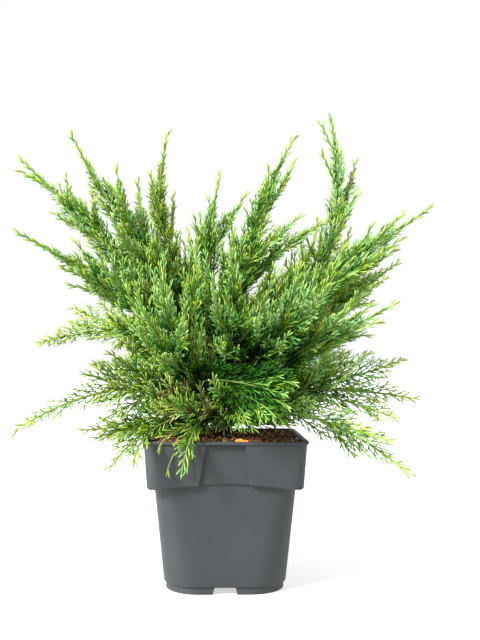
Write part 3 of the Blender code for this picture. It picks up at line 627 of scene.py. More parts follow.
# name, azimuth and reach of the tip, its height, height of the foot, elevation at foot and tip,
# longest side twig, share of the length that is a bare bough, tone and habit
plumeRows = [
    ("left_drooping", 193, 0.155, 0.116, 0.1225, 45, -33, 0.016, 0.27, "low", "spreading"),
    ("left_low", 160, 0.165, 0.181, 0.1380, 54, -20, 0.017, 0.27, "low", "spreading"),
    ("left_middle", 197, 0.156, 0.263, 0.1500, 46, 25, 0.028, 0.28, "green", "upright"),
    ("left_high", 174, 0.163, 0.335, 0.1650, 54, 44, 0.026, 0.27, "green", "upright"),
    ("left_crest", 197, 0.114, 0.341, 0.1780, 54, 62, 0.026, 0.25, "green", "upright"),
    ("mid_crest", 154, 0.040, 0.356, 0.1990, 42, 104, 0.022, 0.20, "fresh", "upright"),
    ("centre_leader", 349, 0.010, 0.320, 0.2220, 88, 76, 0.024, 0.00, "green", "upright"),
    ("centre_crest", 337, 0.069, 0.343, 0.1730, 68, 58, 0.024, 0.25, "green", "upright"),
    ("right_crest", 12, 0.092, 0.376, 0.1350, 40, 106, 0.020, 0.29, "green", "upright"),
    ("right_high", 354, 0.170, 0.289, 0.1580, 42, 34, 0.028, 0.28, "green", "upright"),
    ("right_middle", 22, 0.173, 0.257, 0.1440, 44, 36, 0.032, 0.28, "green", "upright"),
    ("right_low", 334, 0.143, 0.211, 0.1300, 40, 30, 0.032, 0.28, "blue", "upright"),
    ("right_lower", 15, 0.162, 0.171, 0.1242, 28, 23, 0.030, 0.28, "green", "spreading"),
    ("right_flat", 354, 0.155, 0.139, 0.1181, 37, -10, 0.030, 0.28, "blue", "spreading"),
    ("right_drooping", 337, 0.150, 0.086, 0.1122, 41, -38, 0.022, 0.30, "blue", "spreading"),
    ("front_hanging", 252, 0.084, 0.088, 0.1160, 48, -74, 0.015, 0.00, "low", "spreading"),
    ("left_front_drooping", 214, 0.096, 0.088, 0.1170, 40, -56, 0.026, 0.00, "low", "spreading"),
    ("left_skirt", 200, 0.110, 0.117, 0.1135, 12, -3, 0.028, 0.00, "low", "spreading"),
    ("front_fan", 291, 0.112, 0.232, 0.1530, 40, 62, 0.036, 0.28, "blue", "upright"),
    ("front_low", 288, 0.106, 0.129, 0.1200, 32, -24, 0.032, 0.00, "green", "spreading"),
    ("front_right", 317, 0.122, 0.250, 0.1405, 40, 66, 0.036, 0.28, "blue", "upright"),
    ("front_left", 238, 0.106, 0.222, 0.1330, 36, 68, 0.036, 0.28, "green", "upright"),
    ("back_centre", 86, 0.124, 0.245, 0.1610, 50, 44, 0.036, 0.26, "green", "upright"),
    ("back_left", 127, 0.134, 0.236, 0.1520, 48, 38, 0.036, 0.27, "green", "upright"),
    ("back_right", 42, 0.125, 0.299, 0.1690, 46, 82, 0.034, 0.27, "fresh", "upright"),
    ("back_low_left", 139, 0.124, 0.142, 0.1205, 32, -12, 0.034, 0.27, "low", "spreading"),
    ("back_low_right", 45, 0.138, 0.152, 0.1285, 34, -10, 0.034, 0.27, "low", "spreading"),
    ("back_low", 90, 0.120, 0.156, 0.1330, 36, -6, 0.034, 0.27, "low", "spreading"),
]

# plume that bears the fork, share of its length where it leaves, azimuth, reach and height of the tip,
# elevation at the tip, longest side twig
forkRows = [
    ("left_high", 0.80, 176, 0.160, 0.322, 32, 0.006),
    ("left_high", 0.52, 165, 0.130, 0.324, 80, 0.016),
    ("left_high", 0.56, 180, 0.098, 0.306, 82, 0.015),
    ("left_middle", 0.50, 208, 0.127, 0.234, 12, 0.018),
    ("left_middle", 0.40, 199, 0.118, 0.224, 5, 0.020),
    ("left_middle", 0.42, 196, 0.112, 0.260, 55, 0.022),
    ("left_middle", 0.30, 218, 0.105, 0.238, 50, 0.024),
    ("left_low", 0.45, 161, 0.133, 0.200, 5, 0.016),
    ("left_low", 0.35, 151, 0.148, 0.216, 22, 0.018),
    ("left_low", 0.26, 160, 0.106, 0.219, 45, 0.024),
    ("left_low", 0.22, 177, 0.072, 0.168, -16, 0.022),
    ("left_drooping", 0.40, 196, 0.102, 0.166, 8, 0.020),
    ("left_drooping", 0.28, 212, 0.097, 0.176, 30, 0.019),
    ("left_drooping", 0.44, 197, 0.109, 0.158, -4, 0.018),
    ("left_skirt", 0.55, 193, 0.096, 0.126, 30, 0.012),
    ("left_skirt", 0.45, 205, 0.102, 0.110, -26, 0.02),
    ("left_front_drooping", 0.36, 233, 0.098, 0.094, -80, 0.014),
    ("left_front_drooping", 0.30, 219, 0.093, 0.112, -40, 0.016),
    ("left_crest", 0.50, 212, 0.085, 0.313, 82, 0.016),
    ("left_crest", 0.38, 200, 0.062, 0.309, 86, 0.018),
    ("left_crest", 0.26, 219, 0.094, 0.274, 70, 0.024),
    ("mid_crest", 0.45, 173, 0.049, 0.322, 90, 0.017),
    ("mid_crest", 0.36, 135, 0.047, 0.310, 76, 0.007),
    ("mid_crest", 0.28, 208, 0.031, 0.268, 80, 0.022),
    ("centre_leader", 0.25, 332, 0.034, 0.300, 60, 0.018),
    ("centre_leader", 0.20, 108, 0.024, 0.291, 92, 0.018),
    ("centre_crest", 0.42, 318, 0.056, 0.315, 84, 0.014),
    ("centre_crest", 0.50, 352, 0.064, 0.327, 70, 0.010),
    ("centre_crest", 0.36, 327, 0.078, 0.278, 45, 0.022),
    ("centre_crest", 0.25, 295, 0.053, 0.270, 88, 0.022),
    ("centre_crest", 0.22, 360, 0.054, 0.266, 80, 0.024),
    ("right_crest", 0.50, 14, 0.118, 0.337, 80, 0.014),
    ("right_crest", 0.42, 2, 0.113, 0.306, 62, 0.018),
    ("right_crest", 0.34, 1, 0.082, 0.282, 96, 0.010),
    ("right_high", 0.45, 345, 0.123, 0.274, 75, 0.018),
    ("right_high", 0.60, 360, 0.151, 0.288, 48, 0.014),
    ("right_high", 0.42, 356, 0.144, 0.258, 40, 0.024),
    ("right_middle", 0.42, 19, 0.154, 0.270, 50, 0.020),
    ("right_middle", 0.46, 26, 0.169, 0.244, 34, 0.028),
    ("right_middle", 0.30, 15, 0.129, 0.226, 48, 0.030),
    ("right_low", 0.50, 327, 0.138, 0.197, 15, 0.022),
    ("right_low", 0.38, 320, 0.126, 0.217, 60, 0.022),
    ("right_low", 0.34, 331, 0.127, 0.187, 0, 0.022),
    ("right_lower", 0.50, 12, 0.129, 0.177, 32, 0.018),
    ("right_lower", 0.32, 30, 0.133, 0.176, 40, 0.019),
    ("right_flat", 0.42, 350, 0.139, 0.125, -15, 0.020),
    ("right_drooping", 0.50, 330, 0.140, 0.112, -15, 0.016),
    ("right_drooping", 0.54, 335, 0.108, 0.098, -56, 0.016),
    ("front_left", 0.34, 244, 0.093, 0.236, 72, 0.024),
    ("front_left", 0.45, 259, 0.114, 0.205, 60, 0.024),
    ("front_left", 0.26, 257, 0.066, 0.257, 86, 0.024),
    ("front_left", 0.30, 246, 0.109, 0.174, 20, 0.024),
    ("front_fan", 0.30, 279, 0.078, 0.257, 80, 0.024),
    ("front_fan", 0.48, 284, 0.123, 0.197, 20, 0.022),
    ("front_fan", 0.24, 269, 0.101, 0.227, 84, 0.024),
    ("front_fan", 0.26, 272, 0.113, 0.182, 40, 0.024),
    ("front_right", 0.32, 306, 0.099, 0.237, 78, 0.024),
    ("front_right", 0.48, 305, 0.130, 0.220, 52, 0.024),
    ("front_right", 0.28, 294, 0.118, 0.188, 40, 0.024),
    ("front_low", 0.40, 298, 0.106, 0.150, 8, 0.022),
    ("front_low", 0.30, 267, 0.084, 0.160, 60, 0.024),
    ("front_low", 0.42, 283, 0.089, 0.125, -20, 0.018),
    ("front_hanging", 0.35, 244, 0.093, 0.141, 10, 0.022),
    ("back_centre", 0.42, 66, 0.106, 0.296, 76, 0.024),
    ("back_centre", 0.34, 106, 0.091, 0.290, 78, 0.024),
    ("back_left", 0.42, 123, 0.099, 0.288, 72, 0.024),
    ("back_left", 0.34, 141, 0.133, 0.206, 20, 0.024),
    ("back_right", 0.42, 49, 0.128, 0.259, 60, 0.024),
    ("back_low", 0.36, 74, 0.120, 0.196, 50, 0.024),
    ("back_low", 0.34, 112, 0.112, 0.188, 42, 0.024),
    ("back_low_left", 0.40, 157, 0.116, 0.168, 20, 0.020),
    ("back_low_right", 0.40, 27, 0.132, 0.196, 34, 0.022),
    ("left_high", 0.50, 182, 0.128, 0.285, 38, 0.012),
    ("left_high", 0.32, 166, 0.109, 0.268, 44, 0.026),
    ("centre_crest", 0.16, 286, 0.024, 0.261, 92, 0.020),
    ("back_centre", 0.28, 68, 0.042, 0.282, 90, 0.022),
    ("right_crest", 0.30, 20, 0.119, 0.283, 80, 0.018),
    ("right_high", 0.36, 345, 0.146, 0.262, 42, 0.016),
    ("right_low", 0.42, 335, 0.125, 0.211, 40, 0.026),
    ("centre_crest", 0.24, 349, 0.091, 0.278, 30, 0.019),
    ("right_flat", 0.26, 336, 0.108, 0.130, -6, 0.018),
    ("front_low", 0.45, 297, 0.096, 0.132, -12, 0.024),
    ("right_drooping", 0.22, 306, 0.093, 0.138, 6, 0.020),
    ("left_skirt", 0.34, 189, 0.084, 0.115, 0, 0.018),
]

# the same for tufts inside the crown that are too fine for the frame's masses
tuftRows = [
    ("front_low", 0.22, 318, 0.062, 0.125, -10, 0.022),
    ("front_low", 0.14, 327, 0.039, 0.120, -6, 0.022),
    ("front_low", 0.06, 264, 0.026, 0.122, 10, 0.018),
    ("front_low", 0.30, 280, 0.080, 0.120, -50, 0.02),
    ("front_hanging", 0.10, 241, 0.034, 0.130, 50, 0.02),
    ("front_hanging", 0.08, 236, 0.040, 0.121, 10, 0.018),
    ("front_hanging", 0.20, 238, 0.060, 0.146, 60, 0.022),
    ("left_skirt", 0.16, 223, 0.049, 0.124, -14, 0.022),
    ("left_skirt", 0.10, 232, 0.030, 0.117, 0, 0.016),
    ("left_front_drooping", 0.14, 224, 0.056, 0.139, 40, 0.02),
    ("front_hanging", 0.52, 250, 0.066, 0.089, -84, 0.009),
    ("front_hanging", 0.46, 239, 0.072, 0.087, -82, 0.010),
    ("front_hanging", 0.40, 235, 0.076, 0.104, -70, 0.010),
    ("front_fan", 0.18, 262, 0.053, 0.249, 88, 0.022),
    ("front_fan", 0.15, 257, 0.048, 0.220, 84, 0.022),
    ("front_fan", 0.12, 275, 0.051, 0.191, 70, 0.022),
    ("front_left", 0.16, 254, 0.058, 0.190, 84, 0.022),
    ("front_left", 0.12, 244, 0.055, 0.167, 70, 0.022),
    ("front_right", 0.12, 294, 0.051, 0.183, 66, 0.022),
    ("front_right", 0.14, 301, 0.062, 0.160, 40, 0.022),
    ("right_low", 0.12, 313, 0.048, 0.140, 20, 0.02),
    ("front_low", 0.08, 263, 0.020, 0.119, -20, 0.014),
    ("front_low", 0.10, 287, 0.025, 0.120, -10, 0.014),
    ("front_low", 0.12, 300, 0.028, 0.124, 0, 0.016),
    ("front_low", 0.08, 278, 0.025, 0.127, 30, 0.016),
    ("front_low", 0.06, 301, 0.021, 0.116, -20, 0.012),
    ("left_front_drooping", 0.10, 257, 0.026, 0.127, 20, 0.016),
    ("left_front_drooping", 0.08, 243, 0.023, 0.121, -10, 0.016),
    ("front_hanging", 0.10, 269, 0.028, 0.133, 40, 0.018),
    ("front_low", 0.18, 266, 0.034, 0.116, -70, 0.016),
    ("front_low", 0.16, 276, 0.034, 0.113, -74, 0.016),
    ("front_low", 0.20, 285, 0.035, 0.115, -66, 0.016),
    ("front_low", 0.22, 291, 0.041, 0.119, -50, 0.018),
    ("front_low", 0.16, 271, 0.036, 0.122, -40, 0.016),
    ("left_front_drooping", 0.18, 258, 0.037, 0.114, -70, 0.016),
    ("left_front_drooping", 0.16, 262, 0.034, 0.120, -50, 0.016),
    ("left_front_drooping", 0.22, 250, 0.041, 0.118, -50, 0.018),
    ("front_hanging", 0.16, 268, 0.036, 0.126, -20, 0.018),
    ("front_hanging", 0.14, 280, 0.035, 0.125, -20, 0.018),
    ("front_low", 0.24, 295, 0.046, 0.115, -50, 0.016),
    ("left_drooping", 0.30, 202, 0.055, 0.164, 10, 0.022),
    ("left_drooping", 0.26, 199, 0.044, 0.160, 6, 0.020),
    ("left_low", 0.24, 170, 0.054, 0.155, -10, 0.022),
    ("left_drooping", 0.36, 197, 0.069, 0.133, -30, 0.020),
    ("left_skirt", 0.40, 199, 0.062, 0.136, 6, 0.020),
    ("left_skirt", 0.50, 199, 0.073, 0.128, -8, 0.018),
    ("back_low_left", 0.50, 144, 0.085, 0.125, -10, 0.024),
    ("right_middle", 0.55, 21, 0.138, 0.217, 10, 0.018),
    ("right_middle", 0.60, 22, 0.157, 0.249, 24, 0.016),
    ("right_lower", 0.40, 16, 0.106, 0.171, 20, 0.020),
    ("right_lower", 0.34, 16, 0.087, 0.165, 10, 0.020),
    ("left_skirt", 0.70, 205, 0.096, 0.110, -30, 0.014),
    ("left_skirt", 0.66, 210, 0.087, 0.108, -34, 0.014),
    ("centre_leader", 0.30, 216, 0.014, 0.274, 84, 0.014),
    ("left_low", 0.50, 156, 0.096, 0.176, -36, 0.016),
    ("right_middle", 0.46, 24, 0.148, 0.219, 4, 0.018),
    ("right_lower", 0.30, 11, 0.104, 0.176, 24, 0.020),
    ("left_middle", 0.55, 202, 0.099, 0.250, 20, 0.016),
    ("right_crest", 0.50, 360, 0.070, 0.269, 90, 0.014),
    ("centre_crest", 0.30, 337, 0.055, 0.272, 60, 0.012),
    ("centre_leader", 0.20, 222, 0.015, 0.284, 88, 0.014),
    ("centre_leader", 0.24, 74, 0.002, 0.300, 84, 0.012),
    ("centre_crest", 0.24, 355, 0.012, 0.270, 96, 0.016),
    ("right_crest", 0.84, 12, 0.086, 0.365, 104, 0.005),
    ("right_crest", 0.74, 9, 0.084, 0.340, 116, 0.006),
    ("right_high", 0.44, 330, 0.062, 0.247, 60, 0.016),
    ("left_high", 0.84, 174, 0.153, 0.318, 30, 0.008),
    ("left_middle", 0.45, 210, 0.080, 0.244, 84, 0.016),
    ("left_middle", 0.38, 214, 0.076, 0.253, 86, 0.018),
    ("left_middle", 0.34, 220, 0.072, 0.240, 88, 0.018),
    ("left_middle", 0.28, 223, 0.068, 0.251, 90, 0.018),
    ("front_left", 0.40, 233, 0.075, 0.234, 92, 0.020),
    ("front_left", 0.34, 235, 0.068, 0.246, 94, 0.020),
    ("front_left", 0.46, 229, 0.087, 0.218, 88, 0.018),
    ("front_left", 0.50, 226, 0.093, 0.223, 84, 0.018),
    ("front_left", 0.30, 232, 0.079, 0.211, 90, 0.018),
    ("front_left", 0.44, 220, 0.093, 0.211, 80, 0.018),
    ("front_left", 0.28, 240, 0.068, 0.225, 94, 0.018),
    ("front_left", 0.26, 237, 0.075, 0.199, 92, 0.018),
    ("front_left", 0.36, 230, 0.090, 0.198, 84, 0.018),
    ("front_fan", 0.20, 245, 0.056, 0.236, 92, 0.018),
    ("front_fan", 0.24, 254, 0.053, 0.245, 90, 0.018),
    ("front_left", 0.24, 260, 0.063, 0.199, 92, 0.018),
    ("front_fan", 0.20, 269, 0.067, 0.186, 90, 0.018),
    ("front_right", 0.18, 276, 0.061, 0.193, 92, 0.018),
    ("front_right", 0.30, 317, 0.078, 0.240, 96, 0.018),
    ("front_right", 0.34, 322, 0.082, 0.238, 96, 0.014),
    ("front_right", 0.40, 322, 0.091, 0.240, 92, 0.018),
    ("front_right", 0.44, 317, 0.098, 0.222, 86, 0.018),
    ("right_low", 0.34, 328, 0.094, 0.234, 86, 0.016),
    ("front_right", 0.26, 315, 0.086, 0.223, 92, 0.018),
    ("left_middle", 0.50, 201, 0.085, 0.259, 80, 0.014),
    ("left_high", 0.44, 189, 0.073, 0.276, 84, 0.014),
    ("left_crest", 0.34, 214, 0.055, 0.260, 92, 0.016),
    ("left_low", 0.30, 185, 0.081, 0.180, -10, 0.018),
    ("left_low", 0.28, 195, 0.073, 0.176, -16, 0.018),
    ("left_drooping", 0.34, 200, 0.081, 0.172, 24, 0.016),
    ("left_drooping", 0.30, 210, 0.073, 0.170, 40, 0.018),
    ("left_drooping", 0.24, 217, 0.067, 0.167, 50, 0.018),
    ("left_front_drooping", 0.30, 223, 0.077, 0.160, 50, 0.014),
    ("right_drooping", 0.26, 330, 0.068, 0.121, -30, 0.014),
    ("front_low", 0.34, 318, 0.070, 0.120, -40, 0.014),
    ("right_lower", 0.36, 351, 0.104, 0.177, 20, 0.016),
    ("right_low", 0.60, 338, 0.106, 0.200, 30, 0.014),
    ("front_low", 0.20, 314, 0.039, 0.120, -50, 0.016),
    ("front_low", 0.24, 319, 0.050, 0.121, -50, 0.016),
    ("front_low", 0.28, 324, 0.059, 0.119, -46, 0.016),
    ("right_drooping", 0.16, 349, 0.033, 0.120, -40, 0.016),
    ("right_drooping", 0.20, 345, 0.045, 0.119, -44, 0.016),
    ("right_drooping", 0.24, 344, 0.057, 0.117, -44, 0.016),
    ("right_flat", 0.20, 14, 0.041, 0.121, -30, 0.018),
    ("right_flat", 0.26, 14, 0.057, 0.118, -30, 0.018),
    ("front_low", 0.14, 318, 0.021, 0.119, -40, 0.014),
    ("back_low_right", 0.30, 45, 0.036, 0.119, -30, 0.018),
]

# the same for the flat fan that spreads over the front of the soil
fanRows = [
    ("front_left", 0.20, 288, 0.074, 0.162, 20, 0.020),
    ("front_left", 0.20, 297, 0.118, 0.154, 0, 0.030),
    ("front_left", 0.22, 293, 0.118, 0.145, -10, 0.022),
    ("front_left", 0.20, 295, 0.115, 0.137, -16, 0.022),
    ("front_left", 0.18, 295, 0.106, 0.126, -30, 0.022),
    ("front_left", 0.20, 291, 0.108, 0.131, -26, 0.018),
    ("front_left", 0.18, 288, 0.097, 0.127, -45, 0.012),
    ("front_left", 0.16, 287, 0.084, 0.119, -60, 0.010),
    ("front_left", 0.16, 275, 0.051, 0.133, -75, 0.006),
    ("front_left", 0.22, 290, 0.102, 0.152, 0, 0.024),
    ("front_left", 0.22, 295, 0.105, 0.159, 14, 0.022),
    ("front_left", 0.18, 285, 0.063, 0.159, 30, 0.018),
]

# the same for the fine, partly dead twigs over the front left of the soil
wispRows = [
    ("left_front_drooping", 0.14, 229, 0.066, 0.152, 80, 0.011),
    ("left_front_drooping", 0.16, 233, 0.063, 0.161, 86, 0.012),
    ("left_front_drooping", 0.10, 237, 0.057, 0.147, 88, 0.011),
    ("left_front_drooping", 0.12, 241, 0.053, 0.156, 84, 0.012),
    ("front_hanging", 0.12, 248, 0.052, 0.145, 92, 0.011),
    ("front_hanging", 0.16, 254, 0.052, 0.154, 86, 0.012),
    ("front_hanging", 0.18, 260, 0.055, 0.142, 60, 0.011),
    ("left_front_drooping", 0.20, 234, 0.068, 0.138, 30, 0.011),
    ("left_front_drooping", 0.18, 240, 0.065, 0.133, -20, 0.011),
    ("left_front_drooping", 0.12, 245, 0.060, 0.135, 10, 0.011),
    ("front_hanging", 0.14, 253, 0.059, 0.133, -20, 0.011),
    ("left_front_drooping", 0.26, 233, 0.072, 0.128, -40, 0.010),
    ("left_front_drooping", 0.20, 239, 0.068, 0.124, -50, 0.010),
    ("front_hanging", 0.18, 248, 0.063, 0.125, -50, 0.010),
    ("front_hanging", 0.20, 257, 0.058, 0.126, -40, 0.010),
    ("left_skirt", 0.20, 222, 0.068, 0.142, 40, 0.012),
    ("left_skirt", 0.24, 217, 0.067, 0.153, 60, 0.012),
    ("left_skirt", 0.16, 227, 0.068, 0.133, 0, 0.011),
    ("front_left", 0.10, 264, 0.043, 0.183, 90, 0.014),
    ("front_left", 0.08, 257, 0.044, 0.175, 92, 0.014),
]

# how a limb bears its sprays: how they shorten, rise, follow each other and roll, how much their tones darken,
# and how fine, open and wide-angled they are
habits = {
    "upright": {"taper": 0.024, "slope": 0.40, "lift": 0.45, "step": 0.0029, "roll": 50.0, "darkening": 0.0,
                "fine": 1.06, "open": 1.18, "wide": 1.06},
    "spreading": {"taper": 0.009, "slope": 0.52, "lift": 0.04, "step": 0.0050, "roll": 24.0, "darkening": -0.03,
                  "fine": 1.14, "open": 1.85, "wide": 1.45},
    "fanned": {"taper": 0.006, "slope": 0.60, "lift": 0.02, "step": 0.0050, "roll": 20.0, "darkening": 0.50,
               "fine": 1.02, "open": 1.60, "wide": 1.30},
    "wispy": {"taper": 0.004, "slope": 0.46, "lift": 0.16, "step": 0.0040, "roll": 60.0, "darkening": -0.40,
              "fine": 0.80, "open": 1.20, "wide": 1.20}}


def trunkPoint(height):
    foot, tip = Vector(trunkSettings["foot"]), Vector(trunkSettings["tip"])
    return foot.lerp(tip, (height - foot.z) / (tip.z - foot.z))


def trunkRadius(height):
    s = trunkSettings
    low, high = s["foot"][2], s["tip"][2]
    share = min(1.0, max(0.0, (height - low) / (high - low)))
    flare = s["flareRadius"] * math.exp(-(height - low) / s["flareHeight"])
    return s["radius"] + share * (s["tipRadius"] - s["radius"]) + flare


def flatHeading(azimuth):
    return Vector((math.cos(math.radians(azimuth)), math.sin(math.radians(azimuth)), 0.0))


def heading(outward, elevation):
    angle = math.radians(elevation)
    return math.cos(angle) * outward + math.sin(angle) * upward


# A curve that leaves start along one heading and meets tip along another, measured by its length
class Path:
    def __init__(self, start, launch, tip, arrive, grip):
        reach = grip * (tip - start).length
        handles = (start, start + reach * launch, tip - reach * arrive, tip)
        self.points = []
        for step in range(61):
            t = step / 60.0
            u = 1.0 - t
            self.points.append(u ** 3 * handles[0] + 3.0 * u * u * t * handles[1] + 3.0 * u * t * t * handles[2]
                               + t ** 3 * handles[3])
        steps = [(after - before).length for before, after in zip(self.points, self.points[1:])]
        self.marks = [0.0] + [float(mark) for mark in np.cumsum(steps)]
        self.length = self.marks[-1]

    def at(self, distance):
        index = min(len(self.points) - 2, int(np.searchsorted(self.marks, max(0.0, distance), "right")) - 1)
        before, after = self.points[index], self.points[index + 1]
        along = (after - before).normalized()
        return before + (distance - self.marks[index]) * along, along


# One plume from the trunk's axis to its tip, and the forks that it bears
class Plume(Path):
    def __init__(self, row):
        (self.name, azimuth, reach, tipHeight, footHeight, launch, arrive, self.spread, self.bare,
         self.tone, self.habit) = row
        self.foot = trunkPoint(footHeight)
        outward = flatHeading(azimuth)
        super().__init__(self.foot, heading(outward, launch), self.tipPlace(outward, reach, tipHeight),
                         heading(outward, arrive), 0.38)
        self.start = self.bare * self.length
        self.forks = []

    def tipPlace(self, outward, reach, height):
        return Vector((self.foot.x, self.foot.y, 0.0)) + reach * outward + height * upward

    def radius(self, distance):
        s = plumeSettings
        if distance < self.start:
            return s["boughRadius"] + (s["boughTipRadius"] - s["boughRadius"]) * distance / self.start
        share = (distance - self.start) / (self.length - self.start)
        return s["boughTipRadius"] + (s["stemTipRadius"] - s["boughTipRadius"]) * min(1.0, share)


class Fork(Path):
    def __init__(self, plume, share, azimuth, reach, tipHeight, arrive, spread):
        outward = flatHeading(azimuth)
        start, along = plume.at(share * plume.length)
        tip = plume.tipPlace(outward, reach, tipHeight)
        launch = (along + (tip - start).normalized()).normalized()
        super().__init__(start, launch, tip, heading(outward, arrive), 0.34)
        self.share, self.spread, self.habit, self.tone = share, spread, plume.habit, plume.tone

    def radius(self, distance):
        s = plumeSettings
        return s["forkRadius"] + (s["stemTipRadius"] - s["forkRadius"]) * min(1.0, distance / self.length)


# An ascending shoot inside the crown, finer than a fork
class Shoot(Path):
    def __init__(self, plume, share, turn, length, lift):
        self.share, self.spread, self.habit, self.tone = share, 0.34 * length, plume.habit, plume.tone
        start, along = plume.at(share * plume.length)
        outward = Matrix.Rotation(math.radians(turn), 3, along) @ along.orthogonal().normalized()
        aim = (0.5 * along + 0.5 * outward + lift * upward).normalized()
        super().__init__(start, (along + 2.0 * aim).normalized(), start + length * aim,
                         (aim + 0.5 * lift * upward).normalized(), 0.34)

    def radius(self, distance):
        s = plumeSettings
        foot = 0.8 * s["forkRadius"]
        return foot + (s["stemTipRadius"] - foot) * min(1.0, distance / self.length)


# Tells how much nearer a place is to one plume than to any other
class Space:
    def __init__(self, plumes):
        starts, ends, owners = [], [], []
        for number, plume in enumerate(plumes):
            for path in [plume] + plume.forks:
                picked = path.points[::4]
                for before, after in zip(picked, picked[1:]):
                    starts.append(tuple(before))
                    ends.append(tuple(after))
                    owners.append(number)
        self.starts = np.array(starts)
        self.along = np.array(ends) - self.starts
        self.square = (self.along ** 2).sum(axis=1)
        self.owners = np.array(owners)

    def room(self, number, point):
        place = np.array(tuple(point))
        share = ((place - self.starts) * self.along).sum(axis=1) / self.square
        foot = self.starts + np.clip(share, 0.0, 1.0)[:, None] * self.along
        distance = np.linalg.norm(place - foot, axis=1)
        mine = self.owners == number
        return distance[~mine].min() - distance[mine].min()


plumes = [Plume(row) for row in plumeRows]
byName = {plume.name: plume for plume in plumes}
for row in forkRows + tuftRows:
    byName[row[0]].forks.append(Fork(byName[row[0]], *row[1:]))
for rows, habit, tone in ((fanRows, "fanned", "blue"), (wispRows, "wispy", "faded")):
    for row in rows:
        fork = Fork(byName[row[0]], *row[1:])
        fork.habit, fork.tone = habit, tone
        byName[row[0]].forks.append(fork)
space = Space(plumes)


def clearOfPot(point, margin=0.0012):
    reach = max(abs(point.x), abs(point.y))
    if point.z > potSettings["height"] + margin:
        return True
    if reach < 0.0555:
        return point.z > soilSettings["top"] + margin
    return reach > potSettings["lipHalf"] + margin


# Bark: trunk and boughs as finely ringed tubes with fissures and lifting strips

barkSettings = {"sides": 18, "step": 0.0011, "relief": 0.16}


# Rings along a limb, roughened by noise that is stretched along it
def barkTube(points, radii, sides, relief, seed):
    rings = []
    across = None
    travelled = 0.0
    for index, point in enumerate(points):
        before = points[max(0, index - 1)]
        after = points[min(len(points) - 1, index + 1)]
        along = (after - before).normalized()
        across = along.orthogonal() if across is None else across
        across = (across - across.dot(along) * along).normalized()
        other = along.cross(across)
        if index:
            travelled += (point - points[index - 1]).length
        ring = []
        for side in range(sides):
            turn = 2.0 * math.pi * side / sides
            place = Vector((2.2 * math.cos(turn) + seed, 2.2 * math.sin(turn), 90.0 * travelled))
            rough = noise.noise(place) + 0.6 * noise.noise(place * 2.6)
            strip = max(0.0, noise.noise(place * 1.3 + Vector((9.0, 4.0, 2.0))) - 0.15)
            radius = float(radii[index] * (1.0 + relief * (rough + 0.9 * strip)))
            ring.append(point + radius * (math.cos(turn) * across + math.sin(turn) * other))
        rings.append(ring)
    return loft(rings)


def barkMaterial():
    material, tree, shader = newMaterial("redBark", 0.88, 0.25)
    mottledColor(tree, shader, (0.040, 0.022, 0.012), (0.190, 0.105, 0.056), 150.0, 0.45, bump=0.7,
                 bumpDistance=0.0005)
    return material


def makeBark(s):
    bark = barkMaterial()
    low, high = trunkSettings["foot"][2], trunkSettings["tip"][2]
    heights = np.arange(low - 0.002, high + 0.001, s["step"]).tolist()
    points, faces = barkTube([trunkPoint(h) for h in heights], [trunkRadius(max(low, h)) for h in heights],
                             s["sides"], s["relief"], 3.0)
    trunk = addPiece("trunkBark", points, faces)
    trunk.data.materials.append(bark)
    turnOutwards(trunk)
    shadeSmooth(trunk, 70.0)
    rideRoot(trunk, "bark", "trunk")
    for number, plume in enumerate(plumes):
        if not plume.bare:
            continue
        stops = np.arange(0.0, plume.start + 0.002, s["step"]).tolist()
        collar = 0.0011
        radii = [plume.radius(d) + collar * math.exp(-max(0.0, d - 0.004) / 0.003) for d in stops]
        points, faces = barkTube([plume.at(d)[0] for d in stops], radii, 12, s["relief"], 11.0 + number)
        bough = addPiece(plume.name + "Bough", points, faces)
        bough.data.materials.append(bark)
        turnOutwards(bough)
        shadeSmooth(bough, 70.0)
        rideRoot(bough, "bark", plume.name + "_bough")


makeBark(barkSettings)
print("trunk and boughs made")


# Leaves: branchlets of overlapping scales, laid out by the frame's rule and carried to finer twigs

leafSettings = {
    "frondAngle": (28.0, 17.0), "frondRoll": 38.0, "facing": 0.8, "forked": 0.40,
    "branchStep": 0.0026, "branchAngle": 24.0, "branchShare": 0.72, "longestBranch": 0.0200,
    "shortestBranch": 0.0064, "nubStep": 0.0026, "nubAngle": 22.0, "nubLength": (0.0030, 0.0050),
    "cordLength": 0.0088, "leafWidth": 0.00051, "innerGirth": 0.64, "margin": 0.008,
    "innerMargin": 0.024, "tipFreshness": 0.46, "outerFreshness": 0.26, "scaleStep": 0.0038,
    "scaleLength": (0.0060, 0.0088), "scaleAngle": (13.0, 24.0),
    "shootShares": (0.06, 0.08, 0.10, 0.12, 0.15, 0.18, 0.21, 0.25, 0.29, 0.33, 0.37, 0.42),
    "shootLength": (0.036, 0.060), "shootMargin": 0.028, "shootTop": 0.285, "tipCord": 0.030,
    # the first value below darkens the tones at the crown's heart, partly for older leaves and partly as painted
    # shade
    "innerShadeAndAge": 0.36, "shortestPlume": 0.12, "seed": 5}

# plain colours, oldest to youngest; the shine tones are painted highlights on the youngest tips; the outer half
# of a leaf takes the tone after its own
leafTones = {
    "deep": (0.005, 0.024, 0.001), "mid": (0.029, 0.106, 0.004), "green": (0.100, 0.246, 0.018),
    "fresh": (0.188, 0.325, 0.052), "tip": (0.295, 0.378, 0.110), "shine": (0.400, 0.460, 0.200),
    "deepWarm": (0.006, 0.024, 0.001), "midWarm": (0.039, 0.109, 0.002), "olive": (0.128, 0.250, 0.010),
    "warm": (0.228, 0.330, 0.034), "gold": (0.330, 0.375, 0.080), "goldShine": (0.430, 0.455, 0.150),
    "deepBlue": (0.005, 0.025, 0.002), "blue": (0.024, 0.105, 0.013), "paleBlue": (0.088, 0.242, 0.048),
    "frost": (0.173, 0.348, 0.086), "frostTip": (0.275, 0.390, 0.170), "frostShine": (0.385, 0.475, 0.270),
    "dead": (0.085, 0.045, 0.018), "rust": (0.200, 0.110, 0.040)}

